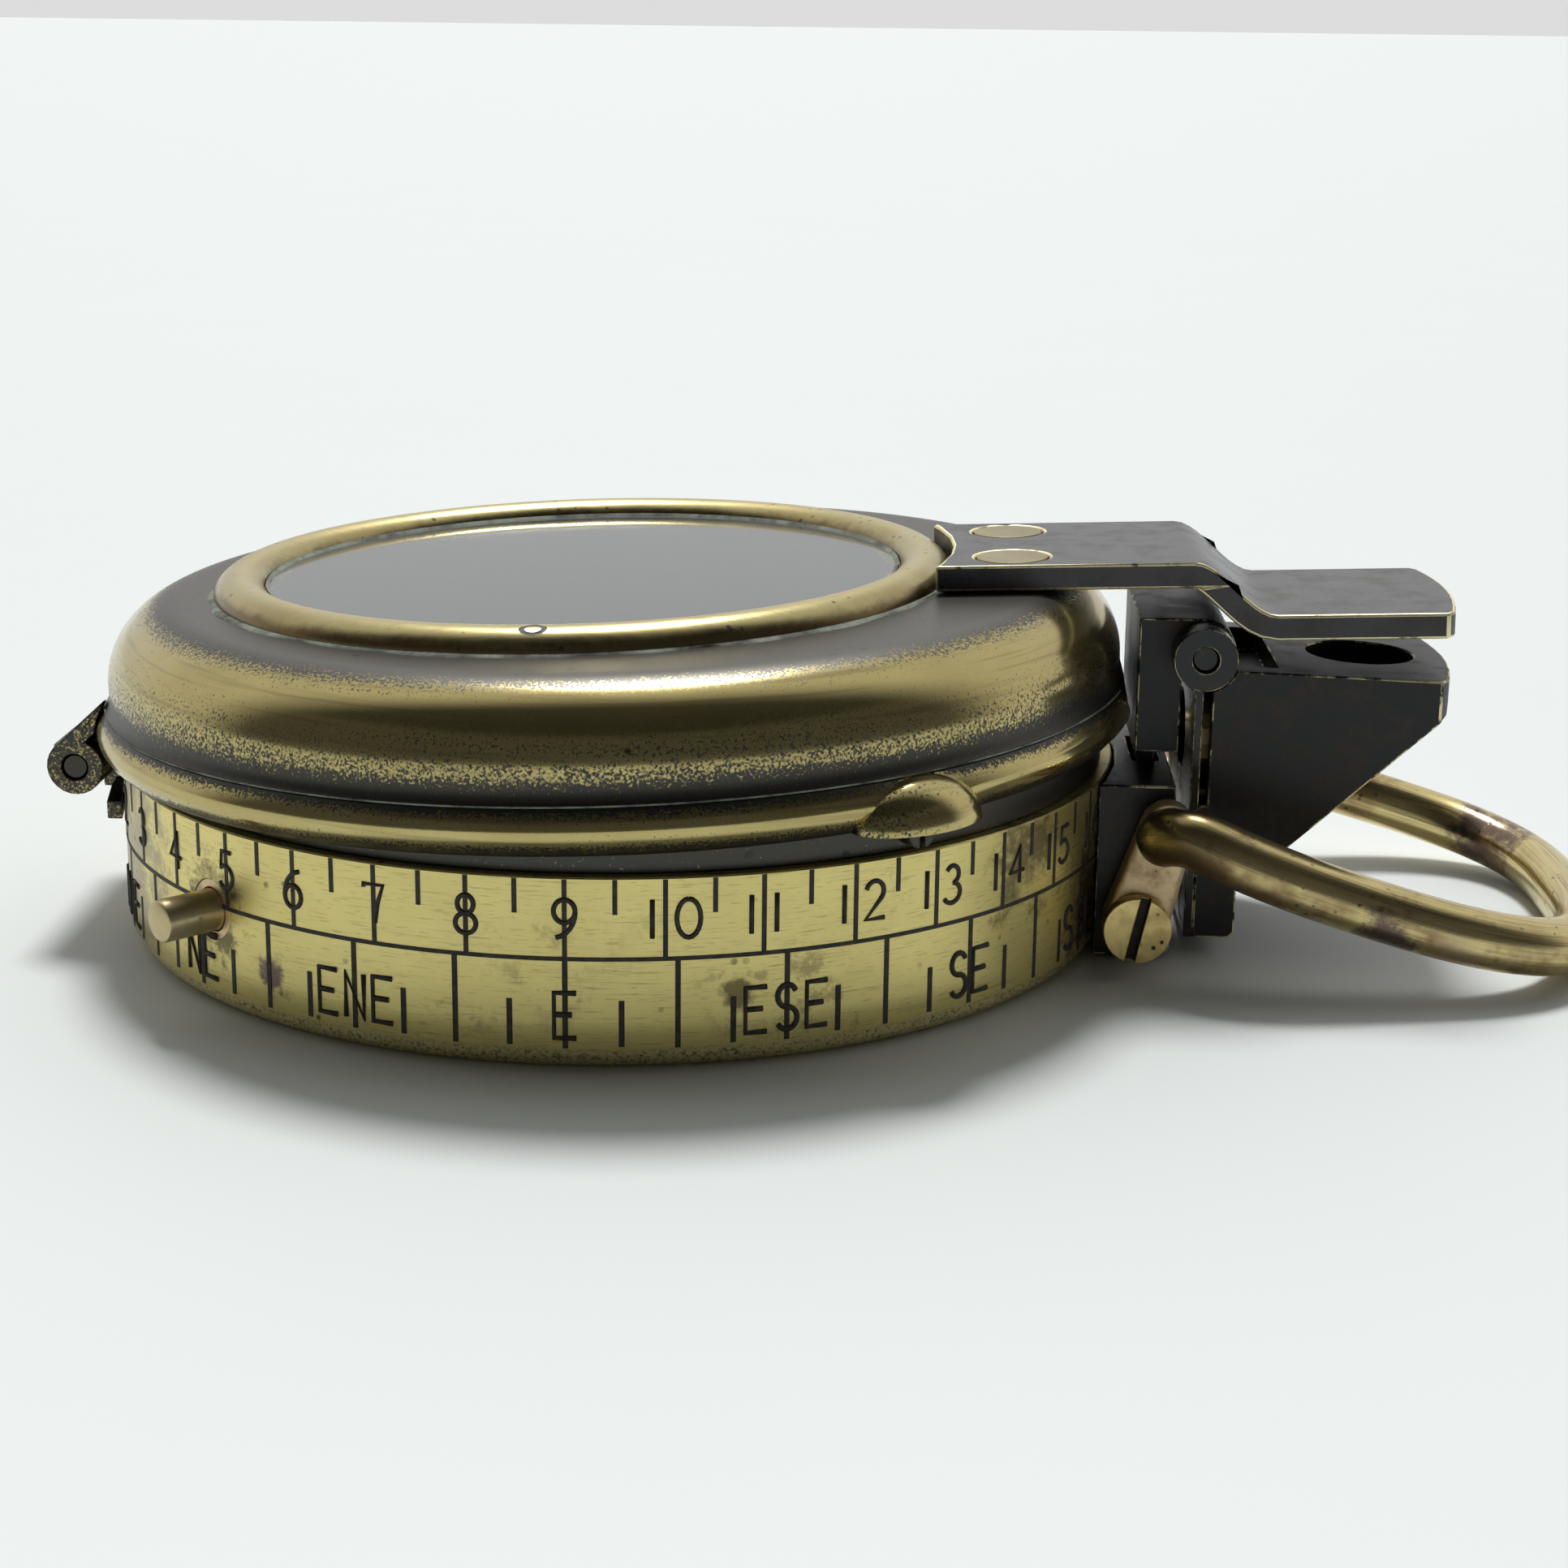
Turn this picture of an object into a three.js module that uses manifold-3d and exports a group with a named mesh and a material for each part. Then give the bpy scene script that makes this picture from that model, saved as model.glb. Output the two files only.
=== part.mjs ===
// Prismatic sighting compass: a round case with a floating card, a hinged window lid with a sighting
// tongue, a sliding prism that folds over the case, and a thumb ring. Millimetres, +Z up.
// The origin is the centre of the case's underside. The lid hinge is at -X, the prism and ring at +X.
import * as THREE from "three";
import { mergeVertices } from "three/addons/utils/BufferGeometryUtils.js";
import Module from "manifold-3d";

const wasm = await Module();
wasm.setup();

// ---------------------------------------------------------------- driving dimensions

const ROUND = 48; // facets of the large round pieces
const SMALL = 16; // facets of pins, screws and holes
const FIT = 0.1; // radial clearance of pieces that sit in each other
const PIN_FIT = 0.1; // radial clearance of hinge pins in their knuckles
const AIR = 0.3; // gap between neighbours that move past each other
const SKIN = 0.15; // gap between pieces soldered along a curved side

const CASE_R = 26.5; // the engraved band
const CASE_WALL = 1.3;
const CASE_IN_R = CASE_R - CASE_WALL;
const FLOOR = 1.3;
const FOOT_H = 1.1; // rounded foot below the band
const FOOT_R = CASE_R - 0.2;
const FOOT_FLAT_R = FOOT_R - 1.2;
const BAND_TOP = 9.5;

const NECK_R = CASE_R - 0.6; // seat ring above the band
const NECK_TOP = BAND_TOP + 2.2;
const BEZEL_R = NECK_R - 2.9; // turning bezel in the seat
const BEZEL_LEDGE = 0.7; // width of the seat's ledge under it
const BEZEL_BOTTOM = BAND_TOP + 0.7;
const BEZEL_TOP = BEZEL_BOTTOM + 3.8;
const LEDGE_T = 0.6;
const SPIGOT_T = 0.8; // seat ring's spigot inside the case
const BEZEL_GLASS_R = BEZEL_R - 1.6;
const BEZEL_GLASS_Z = BEZEL_BOTTOM + 2;
const BEZEL_GLASS_T = 1.1;

const CARD_R = CASE_IN_R - 3;
const CARD_Z = BAND_TOP - 0.9;
const CARD_T = 0.4;
const MAGNET = [2 * (CARD_R - 5.2), 4.6, 1];
const HUB_R = 1.2; // hole through the magnet and the card
const CAP_R = 2.4;
const CAP_H = 1.9;
const POST_R = 1.5;
const POST_TOP = CARD_Z - 1.8;
const NEEDLE_TIP = CARD_Z + 1.5;
const NEEDLE_R = 0.4;

const COLLAR_R = POST_R + 1.3;
const COLLAR_FLANGE_R = COLLAR_R + 1.4;
const COLLAR_BOTTOM = 4.6;
const LEVER_T = 0.6;
const PLUNGER_R = NECK_R - 1.7; // distance of the plunger from the centre
const LEVER_PIVOT_R = PLUNGER_R - 13.2; // distance of the lever's pivot from the centre
const LEVER_PIN_R = 0.45;
const PLUNGER_ROD = 0.6;
const PLUNGER_AZ = 52;

const CLAMP_AZ = -53.5;
const CLAMP_Z = BAND_TOP + 1.25;
const CLAMP_SHANK = 0.5;
const CLAMP_HEAD = 0.8;
const BRAKE_AZ = -133;
const BRAKE_Z = 5.25;
const BRAKE_ROD = 1.05;
const BRAKE_OUT = CASE_R + 3; // how far out its tip stands
const BRAKE_TRAVEL = 1;

const LID_REST = 2; // degrees open, resting on the lock plunger
const LID_WALL = 0.8;
const LID_IN_R = NECK_R + 0.25;
const LID_BOTTOM = BAND_TOP + 0.1;
const LID_TOP = LID_BOTTOM + 7.7;
const LID_SIDE_R = LID_IN_R + 0.75;
const LID_SHOULDER = 4;
const BEAD_R = LID_SIDE_R + 0.8;
const BEAD_Z = LID_BOTTOM + 1.2;
const CREASE_R = LID_SIDE_R + 0.3;
const CREASE_Z = LID_BOTTOM + 2.4;
const KNUCKLE_R = 1.5;
const HINGE_X = -(CASE_R + KNUCKLE_R + SKIN);
const HINGE_Z = LID_BOTTOM - 0.73;
const HINGE_PIN_R = 0.6;
const HINGE_HALF = 7;
const MIDDLE_HALF = 2.3;
const LEAF = { z0: BAND_TOP - 3.4, z1: BAND_TOP - 2.4, thick: 0.8 }; // case half of the lid hinge
const REST_SLOPE = Math.tan((LID_REST * Math.PI) / 180);
const REST_LIFT = (PLUNGER_R * Math.cos((PLUNGER_AZ * Math.PI) / 180) - HINGE_X) * REST_SLOPE;
const PLUNGER_TOP = LID_TOP - 1.8 + REST_LIFT; // just below the curve of the resting lid

const WINDOW_X = -1.65; // the window sits a little towards the hinge
const WINDOW_OUT_R = LID_SIDE_R - 7.3;
const WINDOW_IN_R = WINDOW_OUT_R - 2.8;
const WINDOW_BEAD_H = 1.2;
const WINDOW_BORE_R = WINDOW_IN_R + 0.3;
const WINDOW_GLASS_T = 0.8;

const TONGUE_T = 1.35;
const TONGUE_HALF = 6.2;
const TONGUE_TOP = LID_TOP + 1.45;
const TONGUE_BEND = [CASE_R + 3.8, CASE_R + 8.1];
const TAB_TOP = TONGUE_TOP - 2.8;
const TONGUE_END = CASE_R + 17.75;
const TONGUE_BOW = 0.75; // how far its end bows out past its corners
const CORNER = 0.5;
const RIVET_X = WINDOW_X + WINDOW_OUT_R + SKIN + 3;
const RIVET_Y = 3.7;
const RIVET_R = 1.85;
const RIVET_SHANK = 0.9;

const DOME = { half: 3.5, out: LID_SIDE_R + 2.3, high: 2.6, wall: 0.45 };

const FOLD_X = CASE_R + 4.2;
const BLOCK = { x0: CASE_R + 0.9, x1: CASE_R + 3.2, half: 4.7, z0: BAND_TOP + 0.9, z1: LID_TOP + 0.25 };
const STEM = { x0: CASE_R + 1.2, x1: CASE_R + 2.2, half: 2.4, z0: 3.6 };
const SLIDE_KNUCKLE_R = 1.75;
const FOLD_KNUCKLE_R = 1.65;
const FOLD_Z = BLOCK.z1 - SLIDE_KNUCKLE_R;
const SLIDE_DOWN = 0.7; // travel of the focusing slide below rest

const BRACKET = { x1: CASE_R + 2.9, half: 7.8, z0: 0.2, z1: BAND_TOP - 0.1 };
const BRACKET_SCREW_Y = 5.4;
const BRACKET_SCREW_Z = 5.6;
const BRACKET_SCREW_R = 0.65;

const PLATE_X0 = CASE_R + 3.75; // eye plate, which is also the fold's leaf
const PLATE_T = 0.45;
const PLATE_X1 = PLATE_X0 + PLATE_T;
const PRISM_HALF = 6.3;
const PRISM_TOP = FOLD_Z - 0.55; // at the fold; the top falls a little towards its end
const PRISM_FALL = 0.42;
const PRISM_OUT = CASE_R + 17.45;
const PRISM_BOW = 0.85; // how far its end bows out past its corners
const PRISM_STRIP_X = CASE_R + 6.4;
const STRIP_TOP = 3.46; // where the strip below turns into the sloping back
const PRISM_BOTTOM = 0.8;
const PRISM_WALL = 0.8;
const PRISM_SLOPE = (PRISM_TOP - 2.5 - STRIP_TOP) / (PRISM_OUT - PRISM_BOW - 0.1 - PRISM_STRIP_X);
const LIGHT_GAP = { depth: 0.45, z0: 8 }; // between the eye plate and the housing, seen from the side
const CAVITY_BOTTOM = 4.2;
const CAVITY_TOP = PRISM_TOP - 1.9;
const LOOK_X = PRISM_OUT - 4.45; // hole that looks down on the card
const LOOK_R = 2.85;
const EYE_R = 2.2;
const LENS_R = 2.7;
const SLIT_HALF = 0.45;
const PRISM_GLASS_HALF = LOOK_R + 1.1;
const PRISM_GLASS_X = PLATE_X1 + 1.2;
const PLATE_SCREW = { y: 4.2, z: 2.1, head: 0.85, shank: 0.4 };

const WIRE_R = 1.5;
const RING_X = CASE_R + 12.1; // centre of the ring's bow
const RING_A = 12.9; // half of the bow along X, to the wire's middle
const RING_B = 12.8; // half of it along Y
const RING_POWER = 2.94; // 2 is an ellipse; more is squarer
const RING_SAG = 0.58;
const PIVOT_X = CASE_R + 0.95;
const PIVOT_Z = 2.54;
const LEG_Y = [PRISM_HALF + 1.8, PRISM_HALF + 3.6];
const LEG_HALF = 1.45;
const BEND_X = PIVOT_X + 1.01;
const BEND_Z = 8.3;
const RING_SHANK = 0.9;
const RING_SCREW_R = 1.75;
const RING_SCREW_T = 0.95;

// ---------------------------------------------------------------- shape helpers

/** A closed three.js geometry as a solid that can be joined and cut. */
function solid(geometry) {
  const bare = geometry.clone();
  bare.deleteAttribute("normal");
  bare.deleteAttribute("uv");
  const merged = mergeVertices(bare, 1e-4);
  const index = merged.index.array;
  const kept = [];
  for (let i = 0; i < index.length; i += 3) {
    const [a, b, c] = [index[i], index[i + 1], index[i + 2]];
    if (a !== b && b !== c && c !== a) kept.push(a, b, c);
  }
  const vertProperties = new Float32Array(merged.attributes.position.array);
  return new wasm.Manifold(new wasm.Mesh({ numProp: 3, vertProperties, triVerts: new Uint32Array(kept) }));
}

/** A solid back as a geometry. */
function geometryOf(shape) {
  const mesh = shape.getMesh();
  const geometry = new THREE.BufferGeometry();
  geometry.setAttribute("position", new THREE.BufferAttribute(new Float32Array(mesh.vertProperties), 3));
  geometry.setIndex(new THREE.BufferAttribute(new Uint32Array(mesh.triVerts), 1));
  geometry.computeVertexNormals();
  return geometry;
}

/** Twice the area that an outline encloses, positive when it runs anticlockwise. */
function turning(points) {
  let sum = 0;
  points.forEach(([x, y], i) => {
    const [nx, ny] = points[(i + 1) % points.length];
    sum += x * ny - nx * y;
  });
  return sum;
}

/** A profile of [radius, z] points turned about Z. It closes on itself or on the axis. */
function turned(profile, facets = ROUND) {
  const ordered = turning(profile) > 0 ? profile : [...profile].reverse();
  const points = ordered.map(([r, z]) => new THREE.Vector2(r, z));
  points.push(points[0].clone());
  const geometry = new THREE.LatheGeometry(points, facets);
  geometry.rotateX(Math.PI / 2);
  return solid(geometry);
}

/** A shape drawn in X and Y, raised from z0 to z1. */
function raised(outline, z0, z1) {
  const shape = new THREE.Shape(outline.map(([x, y]) => new THREE.Vector2(x, y)));
  const geometry = new THREE.ExtrudeGeometry(shape, { depth: z1 - z0, bevelEnabled: false });
  geometry.translate(0, 0, z0);
  return solid(geometry);
}

/** A shape drawn in X and Z, drawn out along Y from y0 to y1. */
function drawn(outline, y0, y1) {
  const shape = new THREE.Shape(outline.map(([x, z]) => new THREE.Vector2(x, z)));
  const geometry = new THREE.ExtrudeGeometry(shape, { depth: y1 - y0, bevelEnabled: false });
  geometry.rotateX(Math.PI / 2);
  geometry.translate(0, y1, 0);
  return solid(geometry);
}

/** A box between two corners. */
function box([x0, y0, z0], [x1, y1, z1]) {
  const geometry = new THREE.BoxGeometry(x1 - x0, y1 - y0, z1 - z0);
  geometry.translate((x0 + x1) / 2, (y0 + y1) / 2, (z0 + z1) / 2);
  return solid(geometry);
}

/** A box that lies evenly on both sides of Y = 0. */
function centred(x0, x1, half, z0, z1) {
  return box([x0, -half, z0], [x1, half, z1]);
}

/** A cylinder along Y. */
function rodY(x, z, r, y0, y1, facets = SMALL) {
  const geometry = new THREE.CylinderGeometry(r, r, y1 - y0, facets);
  geometry.translate(x, (y0 + y1) / 2, z);
  return solid(geometry);
}

/** A cylinder along Z. */
function rodZ(x, y, r, z0, z1, facets = SMALL) {
  const geometry = new THREE.CylinderGeometry(r, r, z1 - z0, facets);
  geometry.rotateX(Math.PI / 2);
  geometry.translate(x, y, (z0 + z1) / 2);
  return solid(geometry);
}

/** A turned profile of [radius, distance] points laid along +X at a height z and a side offset y. */
function turnedX(profile, y, z, facets = SMALL) {
  return turned(profile, facets).rotate([0, 90, 0]).translate([0, y, z]);
}

/** A solid that was made along +X, swung round the case to an azimuth in degrees. */
function swung(shape, azimuth) {
  return shape.rotate([0, 0, azimuth]);
}

/** Points of an arc about [cx, cy], angles in degrees. */
function arc(cx, cy, r, from, to, steps) {
  return Array.from({ length: steps + 1 }, (_, i) => {
    const a = THREE.MathUtils.degToRad(from + ((to - from) * i) / steps);
    return [cx + r * Math.cos(a), cy + r * Math.sin(a)];
  });
}

/** A plan in X and Y from a straight end to an end that bows out, with its corners taken off. */
function bowedPlan(start, end, bow, half, corner) {
  const steps = 8;
  const reach = half - corner;
  const curve = Array.from({ length: steps + 1 }, (_, i) => {
    const y = -reach + (2 * reach * i) / steps;
    return [end - bow * (y / half) ** 2, y];
  });
  const cornerX = end - bow - corner * 0.5;
  return [[start, -half], [cornerX, -half], ...curve, [cornerX, half], [start, half]];
}

const joined = (...shapes) => shapes.reduce((a, b) => a.add(b));
const cut = (shape, ...tools) => tools.reduce((a, b) => a.subtract(b), shape);
const sides = [
  ["front", -1],
  ["rear", 1],
];

// ---------------------------------------------------------------- finishes

const finish = (color, roughness, metalness) => new THREE.MeshStandardMaterial({ color, roughness, metalness });
const agedBrass = finish(0x6d6248, 0.42, 1);
const brightBrass = finish(0xc2a95e, 0.3, 1);
const scaleBrass = finish(0xcdbf7c, 0.45, 0.9);
const blackened = finish(0x26262a, 0.55, 0.6);
const darkSteel = finish(0x5b5c60, 0.4, 1);
const clearGlass = new THREE.MeshStandardMaterial({ color: 0xdfe8e6, roughness: 0.05, transparent: true });
const cardPaper = finish(0xe9e6d8, 0.8, 0);
const jewel = finish(0xa03048, 0.1, 0);

const compass = new THREE.Group();
compass.name = "sighting_compass";

/** Adds one named piece to a group. */
function piece(name, shape, material, group = compass) {
  const mesh = new THREE.Mesh(geometryOf(shape), material);
  mesh.name = name;
  group.add(mesh);
}

// ---------------------------------------------------------------- case and its fixed pieces

const brakeBore = BRAKE_ROD + PIN_FIT;
const bushR = brakeBore + 0.35;
const footArc = arc(FOOT_FLAT_R, FOOT_H, 1, -90, 0, 3).map(([r, z]) => [
  FOOT_FLAT_R + (r - FOOT_FLAT_R) * (FOOT_R - FOOT_FLAT_R),
  FOOT_H + (z - FOOT_H) * FOOT_H,
]);
const floorBlend = 0.8;
const caseShell = turned([
  [0, 0],
  ...footArc,
  [CASE_R, FOOT_H],
  [CASE_R, BAND_TOP],
  [CASE_IN_R, BAND_TOP],
  [CASE_IN_R, FLOOR + floorBlend],
  [CASE_IN_R - floorBlend, FLOOR],
  [0, FLOOR],
]);
/** A round hole of a radius, laid along +X through the case's side. */
function sideHole(radius, y, z, from = CASE_IN_R - 4, to = CASE_R + 4) {
  return turnedX([[0, from], [radius, from], [radius, to], [0, to]], y, z);
}
const brakeHole = swung(sideHole(bushR + FIT, 0, BRAKE_Z), BRAKE_AZ);
const screwHoles = sides.map(([, s]) =>
  sideHole(BRACKET_SCREW_R + 0.25, s * BRACKET_SCREW_Y, BRACKET_SCREW_Z),
);
piece("case_body", cut(caseShell, brakeHole, ...screwHoles), scaleBrass);

const seatBore = BEZEL_R + FIT;
const spigotR = CASE_IN_R - FIT;
const clampHole = swung(sideHole(CLAMP_SHANK + 0.15, 0, CLAMP_Z), CLAMP_AZ);
const plungerAngle = THREE.MathUtils.degToRad(PLUNGER_AZ);
const plungerX = PLUNGER_R * Math.cos(plungerAngle);
const plungerY = PLUNGER_R * Math.sin(plungerAngle);
const plungerHole = rodZ(plungerX, plungerY, PLUNGER_ROD + FIT, BAND_TOP - 2, NECK_TOP + 1);
const seat = turned([
  [spigotR - SPIGOT_T, BAND_TOP - LEDGE_T],
  [spigotR, BAND_TOP - LEDGE_T],
  [spigotR, BAND_TOP],
  [NECK_R, BAND_TOP],
  [NECK_R, NECK_TOP],
  [seatBore, NECK_TOP],
  [seatBore, BEZEL_BOTTOM],
  [seatBore - BEZEL_LEDGE, BEZEL_BOTTOM],
  [seatBore - BEZEL_LEDGE, BEZEL_BOTTOM - LEDGE_T],
  [spigotR - SPIGOT_T, BEZEL_BOTTOM - LEDGE_T],
]);
piece("bezel_seat", cut(seat, clampHole, plungerHole), agedBrass);

const postFoot = { r: POST_R + 2.5, high: 0.8 };
const needleFoot = POST_TOP - 2.5;
piece(
  "pivot_post",
  cut(
    turned(
      [
        [0, FLOOR],
        [postFoot.r, FLOOR],
        [postFoot.r, FLOOR + postFoot.high],
        [POST_R, FLOOR + postFoot.high],
        [POST_R, POST_TOP],
        [0, POST_TOP],
      ],
      24,
    ),
    rodZ(0, 0, NEEDLE_R + 0.05, needleFoot, POST_TOP + 1, 12),
  ),
  brightBrass,
);
piece(
  "pivot_needle",
  turned([[0, needleFoot], [NEEDLE_R, needleFoot], [NEEDLE_R, NEEDLE_TIP - 1.4], [0.06, NEEDLE_TIP], [0, NEEDLE_TIP]], 12),
  darkSteel,
);

const bushIn = CASE_IN_R - 0.7;
const bushOut = CASE_R - 0.1;
piece(
  "brake_bush",
  swung(turnedX([[brakeBore, bushIn], [bushR, bushIn], [bushR, bushOut], [brakeBore, bushOut]], 0, BRAKE_Z), BRAKE_AZ),
  agedBrass,
);

// ---------------------------------------------------------------- prism bracket, fixed to the case

const screwTip = BRACKET.x1 - 1.2;
const bracketHoles = sides.map(([, s]) =>
  sideHole(BRACKET_SCREW_R + FIT, s * BRACKET_SCREW_Y, BRACKET_SCREW_Z, CASE_IN_R, screwTip + 0.2),
);
const ringShankIn = BRACKET.half - 1.8; // how deep the ring's screws reach into the bracket
const pivotHoles = sides.map(([, s]) => {
  const [y0, y1] = s > 0 ? [ringShankIn - 0.2, BRACKET.half + 1] : [-BRACKET.half - 1, -ringShankIn + 0.2];
  return rodY(PIVOT_X, PIVOT_Z, RING_SHANK + FIT, y0, y1);
});
const channelFit = 0.2; // play of the slide's stem in the bracket
const channel = centred(
  STEM.x0 - channelFit,
  STEM.x1 + channelFit,
  STEM.half + channelFit,
  STEM.z0 - SLIDE_DOWN - AIR,
  BRACKET.z1 + 1,
);
const bracketBlock = drawn(
  [
    [CASE_IN_R - 3, BRACKET.z0],
    [BRACKET.x1 - 0.4, BRACKET.z0],
    [BRACKET.x1, BRACKET.z0 + 0.4],
    [BRACKET.x1, BRACKET.z1],
    [CASE_IN_R - 3, BRACKET.z1],
  ],
  -BRACKET.half,
  BRACKET.half,
);
const caseClear = rodZ(0, 0, CASE_R + SKIN, -1, BAND_TOP + 1, ROUND);
piece("prism_bracket", cut(bracketBlock, caseClear, channel, ...bracketHoles, ...pivotHoles), blackened);

sides.forEach(([side, s]) => {
  const headR = BRACKET_SCREW_R + 0.85;
  const wallR = CASE_IN_R * Math.cos(Math.PI / ROUND); // the case's inside at the middle of a facet
  const headOut = Math.sqrt(wallR ** 2 - (BRACKET_SCREW_Y + headR) ** 2); // the head meets it at its edge
  const headIn = headOut - 0.9;
  const y = s * BRACKET_SCREW_Y;
  const profile = [
    [0, headIn],
    [headR, headIn],
    [headR, headOut],
    [BRACKET_SCREW_R, headOut],
    [BRACKET_SCREW_R, screwTip],
    [0, screwTip],
  ];
  const slot = box([headIn - 1, y - 0.2, BRACKET_SCREW_Z - 3], [headIn + 0.4, y + 0.2, BRACKET_SCREW_Z + 3]);
  piece("bracket_screw_" + side, cut(turnedX(profile, y, BRACKET_SCREW_Z), slot), brightBrass);
});

// Shouldered screws that the thumb ring swings on: a head, a shank and a slot across the head.
sides.forEach(([side, s]) => {
  const headIn = LEG_Y[1] + 0.1;
  const headOut = headIn + RING_SCREW_T;
  const [y0, y1] = s > 0 ? [ringShankIn, headIn + 0.2] : [-headIn - 0.2, -ringShankIn];
  const shank = rodY(PIVOT_X, PIVOT_Z, RING_SHANK, y0, y1);
  const head = rodY(PIVOT_X, PIVOT_Z, RING_SCREW_R, s > 0 ? headIn : -headOut, s > 0 ? headOut : -headIn, 32);
  const slot = box([-0.25, headOut - 0.5, -3], [0.25, headOut + 1, 3])
    .rotate([0, -12 * s, 0])
    .mirror(s > 0 ? [0, 0, 0] : [0, 1, 0])
    .translate([PIVOT_X, 0, PIVOT_Z]);
  piece("ring_screw_" + side, cut(joined(shank, head), slot), brightBrass);
});

// ---------------------------------------------------------------- lid hinge, the half on the case

const leafR = CASE_R + SKIN;
const leafOut = leafR + LEAF.thick;
const leafBand = turned([[leafR, LEAF.z0], [leafOut, LEAF.z0], [leafOut, LEAF.z1], [leafR, LEAF.z1]]);
const leafPlate = leafBand.intersect(centred(-leafOut - 1, 0, HINGE_HALF, LEAF.z0 - 1, LEAF.z1 + 1));
const knuckleNeck = centred(HINGE_X + 0.15, -leafR - 0.05, MIDDLE_HALF, LEAF.z0 + 0.5, HINGE_Z);
const middleKnuckle = rodY(HINGE_X, HINGE_Z, KNUCKLE_R, -MIDDLE_HALF, MIDDLE_HALF, 24);
const hingeBore = rodY(HINGE_X, HINGE_Z, HINGE_PIN_R + PIN_FIT, -HINGE_HALF - 1, HINGE_HALF + 1, 16);
piece("lid_hinge_leaf", cut(joined(leafPlate, knuckleNeck, middleKnuckle), hingeBore), agedBrass);
piece(
  "lid_hinge_pin",
  rodY(HINGE_X, HINGE_Z, HINGE_PIN_R, -HINGE_HALF + 0.15, HINGE_HALF - 0.15, 16),
  darkSteel,
);

// ---------------------------------------------------------------- card lock: plunger, lever and collar

piece(
  "lock_plunger",
  rodZ(plungerX, plungerY, PLUNGER_ROD, COLLAR_BOTTOM, PLUNGER_TOP, 16),
  darkSteel,
);

const leverTop = COLLAR_BOTTOM - AIR;
const leverZ = leverTop - LEVER_T / 2;
const earGap = 2.2;
const prong = { tip: -1.2, root: POST_R + 3.5, end: LEVER_PIVOT_R - 2, out: POST_R + 1.9, in: POST_R + 0.4 };
const prongs = raised(
  [
    [prong.tip, -prong.out],
    [prong.end, -prong.out],
    [prong.end, prong.out],
    [prong.tip, prong.out],
    [prong.tip, prong.in],
    [prong.root, prong.in],
    [prong.root, -prong.in],
    [prong.tip, -prong.in],
  ],
  leverTop - LEVER_T,
  leverTop,
);
const arm = centred(prong.end - 1, PLUNGER_R + 0.5, earGap - AIR, leverTop - LEVER_T, leverTop);
const boss = rodY(LEVER_PIVOT_R, leverZ, LEVER_PIN_R + 0.5, -earGap + AIR, earGap - AIR, 16);
const leverBore = rodY(LEVER_PIVOT_R, leverZ, LEVER_PIN_R + PIN_FIT, -4, 4, 16);
piece("lift_lever", swung(cut(joined(prongs, arm, boss), leverBore), PLUNGER_AZ), brightBrass);

const ears = sides.map(([, s]) =>
  box(
    [LEVER_PIVOT_R - 1.3, s > 0 ? earGap : -earGap - 0.8, FLOOR],
    [LEVER_PIVOT_R + 1.3, s > 0 ? earGap + 0.8 : -earGap, leverZ + 1.2],
  ),
);
const earFoot = centred(LEVER_PIVOT_R - 1.3, LEVER_PIVOT_R + 1.3, earGap + 0.8, FLOOR, FLOOR + 0.6);
const earBore = rodY(LEVER_PIVOT_R, leverZ, LEVER_PIN_R + 0.02, -4, 4, 16);
piece("lever_bracket", swung(cut(joined(earFoot, ...ears), earBore), PLUNGER_AZ), brightBrass);
const leverPinHalf = earGap + 0.7;
piece("lever_pin", swung(rodY(LEVER_PIVOT_R, leverZ, LEVER_PIN_R, -leverPinHalf, leverPinHalf, 16), PLUNGER_AZ), darkSteel);

// A bent leaf under the lever's outer arm: foot, rise and a flat end that bears on the arm.
const springTop = leverTop - LEVER_T;
const springT = 0.25;
const springLine = [
  [PLUNGER_R - 10.2, FLOOR],
  [PLUNGER_R - 6.7, FLOOR],
  [PLUNGER_R - 2.7, springTop - springT],
  [PLUNGER_R - 1.2, springTop - springT],
];
const springBack = springLine.map(([x, z]) => [x, z + springT]).reverse();
piece("lever_spring", swung(drawn([...springLine, ...springBack], -1.4, 1.4), PLUNGER_AZ), darkSteel);

const magnetZ = CARD_Z - MAGNET[2];
const collarBore = POST_R + 0.2;
piece(
  "lift_collar",
  turned(
    [
      [collarBore, COLLAR_BOTTOM],
      [COLLAR_FLANGE_R, COLLAR_BOTTOM],
      [COLLAR_FLANGE_R, COLLAR_BOTTOM + 0.6],
      [COLLAR_R, COLLAR_BOTTOM + 0.6],
      [COLLAR_R, magnetZ - AIR],
      [collarBore, magnetZ - AIR],
    ],
    24,
  ),
  brightBrass,
);

// ---------------------------------------------------------------- card, magnet, cap and jewel

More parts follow.
